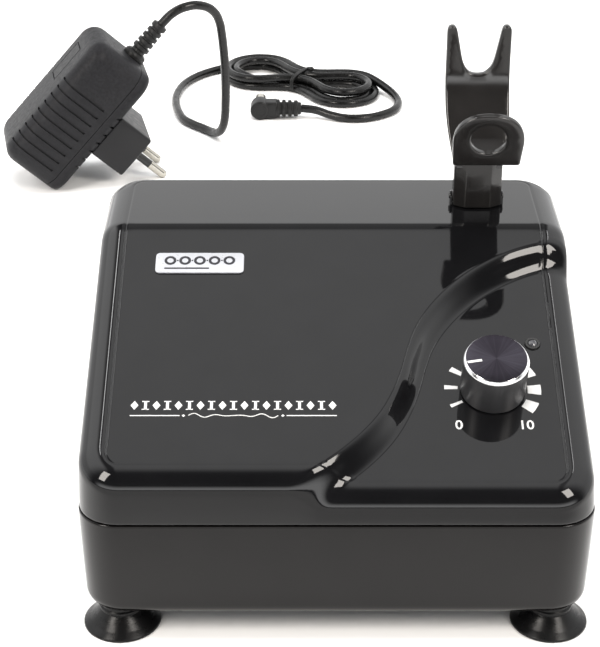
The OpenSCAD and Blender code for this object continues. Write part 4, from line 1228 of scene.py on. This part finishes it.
def adapter_pieces():
    body = solid("adapter_back", ring_box(0, 70, 19, 0, 32, 8.5, 3.0, 7.0), adapter_mat, AD)
    base = solid("adapter_base", ring_box(0, 70, 19, 0, 32, 8.5, 3.0, 7.0), adapter_mat, AD)
    # split at the seam, with a fine groove round it
    cut_lo = solid("c1", box_part(-5, 75, -25, 25, -5, 6.2), adapter_mat, AD)
    cut_hi = solid("c2", box_part(-5, 75, -25, 25, 5.9, 40), adapter_mat, AD)
    # long grooves down both broad sides, which run over onto the back
    inner = solid("c3", ring_box(0, 70, 19, 0, 32, 8.5, 3.0, 7.0, g=0.75), adapter_mat, AD)
    slots = []
    for i in range(9):
        x = 8.5 + i * 4.6
        slots.append(box_part(x, x + 0.95, -22, -12.2, 9.5, 34))
        slots.append(box_part(x, x + 0.95, 12.2, 22, 9.5, 34))
    sl = solid("c4", join(*slots), adapter_mat, AD)
    apply_boolean(sl, [inner])
    # outline of a blank label recess on the back
    lab_o = round_poly([(40, -3.2), (59, -3.2), (59, 7.6), (40, 7.6)], 0.8, 4)
    lab_i = round_poly([(40.6, -2.6), (58.4, -2.6), (58.4, 7.0), (40.6, 7.0)], 0.5, 4)
    lb = solid("c5", plate(lab_o, [lab_i], lambda x, y: 31.5, lambda x, y: 33, r=0.05, step=40, k=1), adapter_mat, AD)
    apply_boolean(body, [cut_lo, sl, lb])
    # notches across the lower edge
    nots = []
    for i in range(7):
        x = 17.0 + i * 4.9
        nots.append(box_part(x, x + 1.0, -22, -14.6, -2, 2.6))
        nots.append(box_part(x, x + 1.0, 14.6, 22, -2, 2.6))
    inner2 = solid("c6", ring_box(0, 70, 19, 0, 32, 8.5, 3.0, 7.0, g=0.75), adapter_mat, AD)
    nt_ = solid("c7", join(*nots), adapter_mat, AD)
    apply_boolean(nt_, [inner2])
    apply_boolean(base, [cut_hi, nt_])
    return body, base


ad_back, ad_base = adapter_pieces()
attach(ad_back, "root")
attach(ad_base, "root")
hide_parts("adapter_cover")
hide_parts("adapter_shell")
# dark tongue that shows in the seam
v, f = ring_box(0.5, 69.5, 18.5, 3, 9, 8.0, 0.3, 0.3)
tongue = put("adapter_tongue", v, f, block_mat, "root", where=AD)

# plug block, with two round collars
bl = round_poly([(26, -17.5), (48, -17.5), (48, 17.5), (26, 17.5)], 1.6, 5)
bl = densify(bl, 3)
blk = plate(bl, [], lambda x, y: -18.0, lambda x, y: 0.3, r=1.0, step=6, k=4)
collars = []
for s in (-9.4, 9.4):
    collars.append(moved(lathe(rounded([(0, -18.4), (3.3, -18.4), (3.3, -17.2), (0, -17.2)], 0.25, 3), 48),
                         Matrix.Translation((37, s, 0))))
v, f = join(blk, *collars)
block = put("plug_block", v, f, block_mat, "root", where=AD)
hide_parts("adapter_plug_block")

# pins: plated tips and black sleeves
pin_v, pin_f, pin_m = [], [], []
for s in (-9.4, 9.4):
    tip = rounded([(0, -37.0), (0.9, -36.85), (1.75, -36.1), (2.0, -35.0), (2.0, -27.2)], [0, 0.4, 0.5, 0.6, 0], 4)
    slv = rounded([(2.0, -27.2), (1.92, -27.1), (1.92, -9.0), (0, -9.0)], [0, 0.02, 0.1, 0], 2)
    for prof, m_ in ((tip, 0), (slv, 1)):
        a, b = moved(lathe(prof, 48), Matrix.Translation((37, s, 0)))
        st = len(pin_v)
        pin_v += a
        pin_f += [tuple(st + i for i in t) for t in b]
        pin_m += [m_] * len(b)
pins = put("mains_pins", pin_v, pin_f, [nickel_mat, dark_plastic], "root", where=AD, face_mats=pin_m)
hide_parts("adapter_pins")

# strain relief: a round foot and a ribbed, slotted taper
rel = [(0, -0.2), (5.3, -0.2), (5.3, 1.9), (4.6, 2.9), (3.3, 3.5), (3.3, 4.9)]
for z0, rr in ((5.0, 4.15), (8.1, 4.0), (11.2, 3.85), (14.3, 3.7)):
    rel += [(rr, z0), (rr - 0.05, z0 + 1.9), (2.75, z0 + 2.0), (2.75, z0 + 3.0)]
rel += [(3.7, 17.4), (3.65, 19.6), (2.5, 20.0), (2.15, 20.0), (0, 20.0)]
prof = rounded(rel, 0.28, 3)
REL = AD @ Matrix.Translation((0.070, 0.003, 0.009)) @ Matrix.Rotation(math.radians(90), 4, "Y")
v, f = lathe(prof, 64)
relief = put("cable_relief", v, f, relief_mat, "root", where=REL)
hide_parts("strain_relief")

# low-voltage plug: ribbed grip, flat-sided head, metal barrel behind
PM = Matrix.Translation((-0.010, 0.352, 0.005)) @ Matrix.Rotation(math.radians(-90), 4, "Y")
grip = [(0, 0), (2.3, 0), (3.1, 0.4), (3.2, 1.6)]
for z0, rr in ((2.0, 4.1), (5.0, 4.25), (8.0, 4.4)):
    grip += [(rr, z0), (rr + 0.05, z0 + 1.7), (3.2, z0 + 1.85), (3.3, z0 + 2.9)]
grip += [(4.6, 11.0), (4.65, 12.9), (0, 13.2)]
gv = lathe(rounded(grip, 0.25, 3), 64)
neck = plate(densify(round_poly([(-4.2, -4.1), (4.2, -4.1), (4.2, 4.1), (-4.2, 4.1)], 1.6, 5), 2), [],
             lambda x, y: 12.4, lambda x, y: 21.0, r=0.4, step=4, k=3)
hd = [(4.9 * math.cos(2 * math.pi * i / 72), 21 + 4.9 * math.sin(2 * math.pi * i / 72)) for i in range(72)]
head = plate(hd, [], lambda x, z: -4.5, lambda x, z: 4.95, r=1.1, step=2.5, k=5, place=lambda x, z, h: (x, h, z))
ring_o = [(2.9 * math.cos(2 * math.pi * i / 48), 21 + 2.9 * math.sin(2 * math.pi * i / 48)) for i in range(48)]
ring_i = [(2.5 * math.cos(2 * math.pi * i / 48), 21 + 2.5 * math.sin(2 * math.pi * i / 48)) for i in range(48)]
mark = plate(ring_o, [ring_i], lambda x, z: -4.62, lambda x, z: -4.2, r=0.05, step=30, k=1,
             place=lambda x, z, h: (x, h, z))
v, f = join(gv, neck, head, mark)
plug = put("lead_plug", v, f, relief_mat, "root", where=PM, angle=35)
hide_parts("dc_plug")
bz = rounded([(2.75, 3.0), (2.75, 14.4), (2.6, 14.55), (1.15, 14.55), (1.05, 14.3), (1.05, 6.0), (0, 6.0)],
             [0, 0.15, 0.05, 0.05, 0.05, 0.05, 0], 3)
BM = Matrix.Translation((-0.031, 0.352, 0.005)) @ Matrix.Rotation(math.radians(-90), 4, "X")
v, f = lathe(bz, 64)
barrel = put("plug_barrel", v, f, nickel_mat, "root", where=BM)
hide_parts("dc_plug_barrel")

# twist tie round the waist of the hank
tie = []
for i in range(121):
    t = i / 60.0
    a = 2 * math.pi * t - 0.35
    ca, sa = math.cos(a), math.sin(a)
    e = 0.62
    y = 10.35 * math.copysign(abs(ca) ** e, ca)
    z = 4.75 + 4.15 * math.copysign(abs(sa) ** e, sa)
    tie.append(tuple(hank_world(-1.1 + 1.1 * t, y, z)))
yl, zl = 4.0, 9.6
curl = [(1.3, 8.2, 8.3), (1.7, 6.6, 9.2), (2.3, 4.6, 9.7), (3.2, 3.4, 9.8), (4.2, 3.8, 9.7), (4.4, 5.0, 9.75),
        (3.6, 5.7, 9.85), (2.5, 5.2, 9.9), (1.2, 4.3, 9.85)]
tie += [tuple(hank_world(*p)) for p in curl]
tie = [tuple(p) for p in cr(tie, 2)]
v, f = tube(tie, 0.55, 10)
v = [(p[0], p[1], max(p[2], 0.02)) for p in v]
ties = put("twist_tie_wire", v, f, relief_mat, "root")
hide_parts("twist_tie")

# ------------------------------------------------------------------ rear air outlet, with a turned thread
OM = Matrix.Translation((0.025, 0.0, 0.030)) @ Matrix.Rotation(math.radians(-90), 4, "X")
hexo = round_poly([(8 * math.cos(math.pi / 3 * i), 8 * math.sin(math.pi / 3 * i)) for i in range(6)], 0.7, 4)
hx_part = plate(densify(hexo, 3), [], lambda x, y: 62.0, lambda x, y: 66.0, r=0.45, step=5, k=3)
tv, tf = [], []
NT, NZ, P0, P1, PITCH = 72, 76, 65.6, 74.6, 0.907
for k_ in range(NZ + 1):
    z = P0 + (P1 - P0) * k_ / NZ
    for i in range(NT):
        ph = (z / PITCH - i / NT) % 1.0
        tri_ = 1 - abs(2 * ph - 1)
        ends = min(1, max(0, (z - P0 - 0.4) / 0.8), max(0, (P1 - z) / 0.9))
        r_ = 4.86 - 0.5 * (1 - tri_ * min(1, ends)) * (1.0 if ends > 0 else 0.9)
        a = 2 * math.pi * i / NT
        tv.append((r_ * math.cos(a), r_ * math.sin(a), z))
for k_ in range(NZ):
    for i in range(NT):
        j = (i + 1) % NT
        tf.append((k_ * NT + i, k_ * NT + j, (k_ + 1) * NT + j, (k_ + 1) * NT + i))
bore = [(4.41, 74.6), (3.2, 74.55), (3.15, 71.6), (1.3, 71.5), (1.3, 47.0), (2.2, 47.0), (2.2, 54.8), (4.8, 55.0), (4.8, 62.1)]
bv = lathe(rounded(bore, 0.1, 2), NT)
v, f = join(hx_part, (tv, tf), bv)
outlet = put("air_outlet_fitting", v, f, brass_mat, "root", where=OM, angle=28)
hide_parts("outlet_fitting")

# ------------------------------------------------------------------ floor and light
fv = [(-4, -4, 0), (4, -4, 0), (4, 4, 0), (-4, 4, 0)]
fm = bpy.data.meshes.new("floor")
fm.from_pydata(fv, [], [(0, 1, 2, 3)])
floor = bpy.data.objects.new("floor", fm)
bpy.context.scene.collection.objects.link(floor)
flm = bpy.data.materials.new("floor")
flm.use_nodes = True
flb = flm.node_tree.nodes["Principled BSDF"]
ftc = flm.node_tree.nodes.new("ShaderNodeTexCoord")
fsx = flm.node_tree.nodes.new("ShaderNodeSeparateXYZ")
# floor colour darkens from 0.94 to 0.52 towards the front, below object y -0.08 m: painted shade standing in for light
# falling off in front of the case, so the case's front faces reflect darker
floor_painted_falloff = flm.node_tree.nodes.new("ShaderNodeMapRange")
floor_painted_falloff.interpolation_type = "SMOOTHSTEP"
floor_painted_falloff.inputs["From Min"].default_value = -0.19
floor_painted_falloff.inputs["From Max"].default_value = -0.079
floor_painted_shade_ramp = flm.node_tree.nodes.new("ShaderNodeValToRGB")
floor_painted_shade_ramp.color_ramp.elements[0].color = (0.52, 0.52, 0.52, 1)
floor_painted_shade_ramp.color_ramp.elements[1].color = (0.94, 0.94, 0.94, 1)
link(flm.node_tree, ftc.outputs["Object"], fsx.inputs["Vector"])
link(flm.node_tree, fsx.outputs["Y"], floor_painted_falloff.inputs["Value"])
link(flm.node_tree, floor_painted_falloff.outputs["Result"], floor_painted_shade_ramp.inputs["Fac"])
link(flm.node_tree, floor_painted_shade_ramp.outputs["Color"], flb.inputs["Base Color"])
flb.inputs["Roughness"].default_value = 0.9
flb.inputs["Specular IOR Level"].default_value = 0.0
fm.materials.append(flm)

world = bpy.data.worlds.new("studio")
bpy.context.scene.world = world
world.use_nodes = True
wn = world.node_tree
bg = wn.nodes["Background"]
tc_ = wn.nodes.new("ShaderNodeTexCoord")
sx_ = wn.nodes.new("ShaderNodeSeparateXYZ")
wn.links.new(tc_.outputs["Generated"], sx_.inputs["Vector"])


def wmath(op, a, b=None, c=None):
    n_ = wn.nodes.new("ShaderNodeMath")
    n_.operation = op
    for i, x in enumerate((a, b, c)):
        if x is None:
            continue
        if isinstance(x, (int, float)):
            n_.inputs[i].default_value = x
        else:
            wn.links.new(x, n_.inputs[i])
    return n_.outputs[0]


def wstep(x, a, b, lo=0.0, hi=1.0):
    n_ = wn.nodes.new("ShaderNodeMapRange")
    n_.interpolation_type = "SMOOTHSTEP"
    n_.inputs["From Min"].default_value = a
    n_.inputs["From Max"].default_value = b
    n_.inputs["To Min"].default_value = lo
    n_.inputs["To Max"].default_value = hi
    wn.links.new(x, n_.inputs["Value"])
    return n_.outputs["Result"]


X, Y, Z = (sx_.outputs[i] for i in range(3))
# a bright tent above and behind, dim in front above the camera, with a lit strip along the front horizon
front = wstep(Y, -0.42, 0.02)
absx = wmath("ABSOLUTE", X)
negx = wmath("MULTIPLY", X, -1.0)
gap_left = wmath("ADD", wstep(negx, 0.145, 0.20, 1.0, 0.10), wstep(negx, 0.30, 0.44, 0.0, 1.3))
gap_right = wmath("ADD", wstep(X, 0.17, 0.21, 1.0, 0.30), wstep(X, 0.27, 0.36, 0.0, 0.75))
gap = wmath("MAXIMUM", wstep(Z, 0.46, 0.58), wstep(Z, 0.06, 0.16, 1.0, 0.0))
sides = wmath("MULTIPLY", gap_left, gap_right)
sides = wmath("ADD", wmath("MULTIPLY", sides, gap), wmath("SUBTRACT", 1.0, gap))
height = wstep(Z, 0.42, 0.80, 1.52, 1.68)
flag = wmath("MULTIPLY", wmath("MULTIPLY", wstep(Z, 0.49, 0.55), wstep(Z, 0.84, 0.925, 1.0, 0.0)),
             wstep(absx, 0.22, 0.34, 1.0, 0.0))
height = wmath("MULTIPLY", height, wmath("SUBTRACT", 1.0, wmath("MULTIPLY", flag, 0.75)))
dome = wmath("MULTIPLY", sides, height)
lit = wmath("MULTIPLY", dome, wmath("ADD", wmath("MULTIPLY", front, 0.955), 0.045))
strip = wmath("MULTIPLY", wmath("MULTIPLY", wstep(Z, 0.015, 0.05), wstep(Z, 0.10, 0.36, 1.0, 0.0)),
              wstep(Y, -0.75, -0.45, 1.0, 0.0))
lit = wmath("ADD", lit, wmath("MULTIPLY", strip, 3.6))
bg.inputs["Color"].default_value = (1, 1, 1, 1)
wn.links.new(lit, bg.inputs["Strength"])


def softbox(name, loc, target, w, h, power, spread=180):
    ld = bpy.data.lights.new(name, "AREA")
    ld.shape = "RECTANGLE"
    ld.size, ld.size_y = w, h
    ld.energy = power
    ld.spread = math.radians(spread)
    lo_ = bpy.data.objects.new(name, ld)
    bpy.context.scene.collection.objects.link(lo_)
    lo_.location = loc
    lo_.rotation_euler = (Vector(target) - Vector(loc)).to_track_quat("-Z", "Y").to_euler()
    return lo_


softbox("key_left", (-1.0, -0.95, 1.25), (0, 0, 0.05), 0.42, 0.95, 21).data.color = (1.0, 0.95, 0.89)
softbox("key_right", (0.95, -0.95, 1.32), (0, 0, 0.05), 0.48, 0.85, 21).data.color = (1.0, 0.95, 0.89)


def tube_light(name, loc, half_len, w, power):
    """A long narrow light that runs front to back."""
    ld = bpy.data.lights.new(name, "AREA")
    ld.shape = "RECTANGLE"
    ld.size, ld.size_y = w, 2 * half_len
    ld.energy = power
    ob = bpy.data.objects.new(name, ld)
    bpy.context.scene.collection.objects.link(ob)
    ob.location = loc
    z = Vector(loc).normalized()
    y = Vector((0, 1, 0))
    y = (y - y.dot(z) * z).normalized()
    x = y.cross(z)
    ob.matrix_world = Matrix.Translation(loc) @ Matrix((x, y, z)).transposed().to_4x4()
    return ob


tube_light("strip_left", (-0.60, 0.70, 1.81), 0.30, 0.05, 1.5)
tube_light("strip_right", (0.68, 0.66, 1.79), 0.30, 0.04, 0.8)
softbox("top", (0, 0.2, 2.2), (0, 0.1, 0), 1.6, 1.2, 34).visible_glossy = False
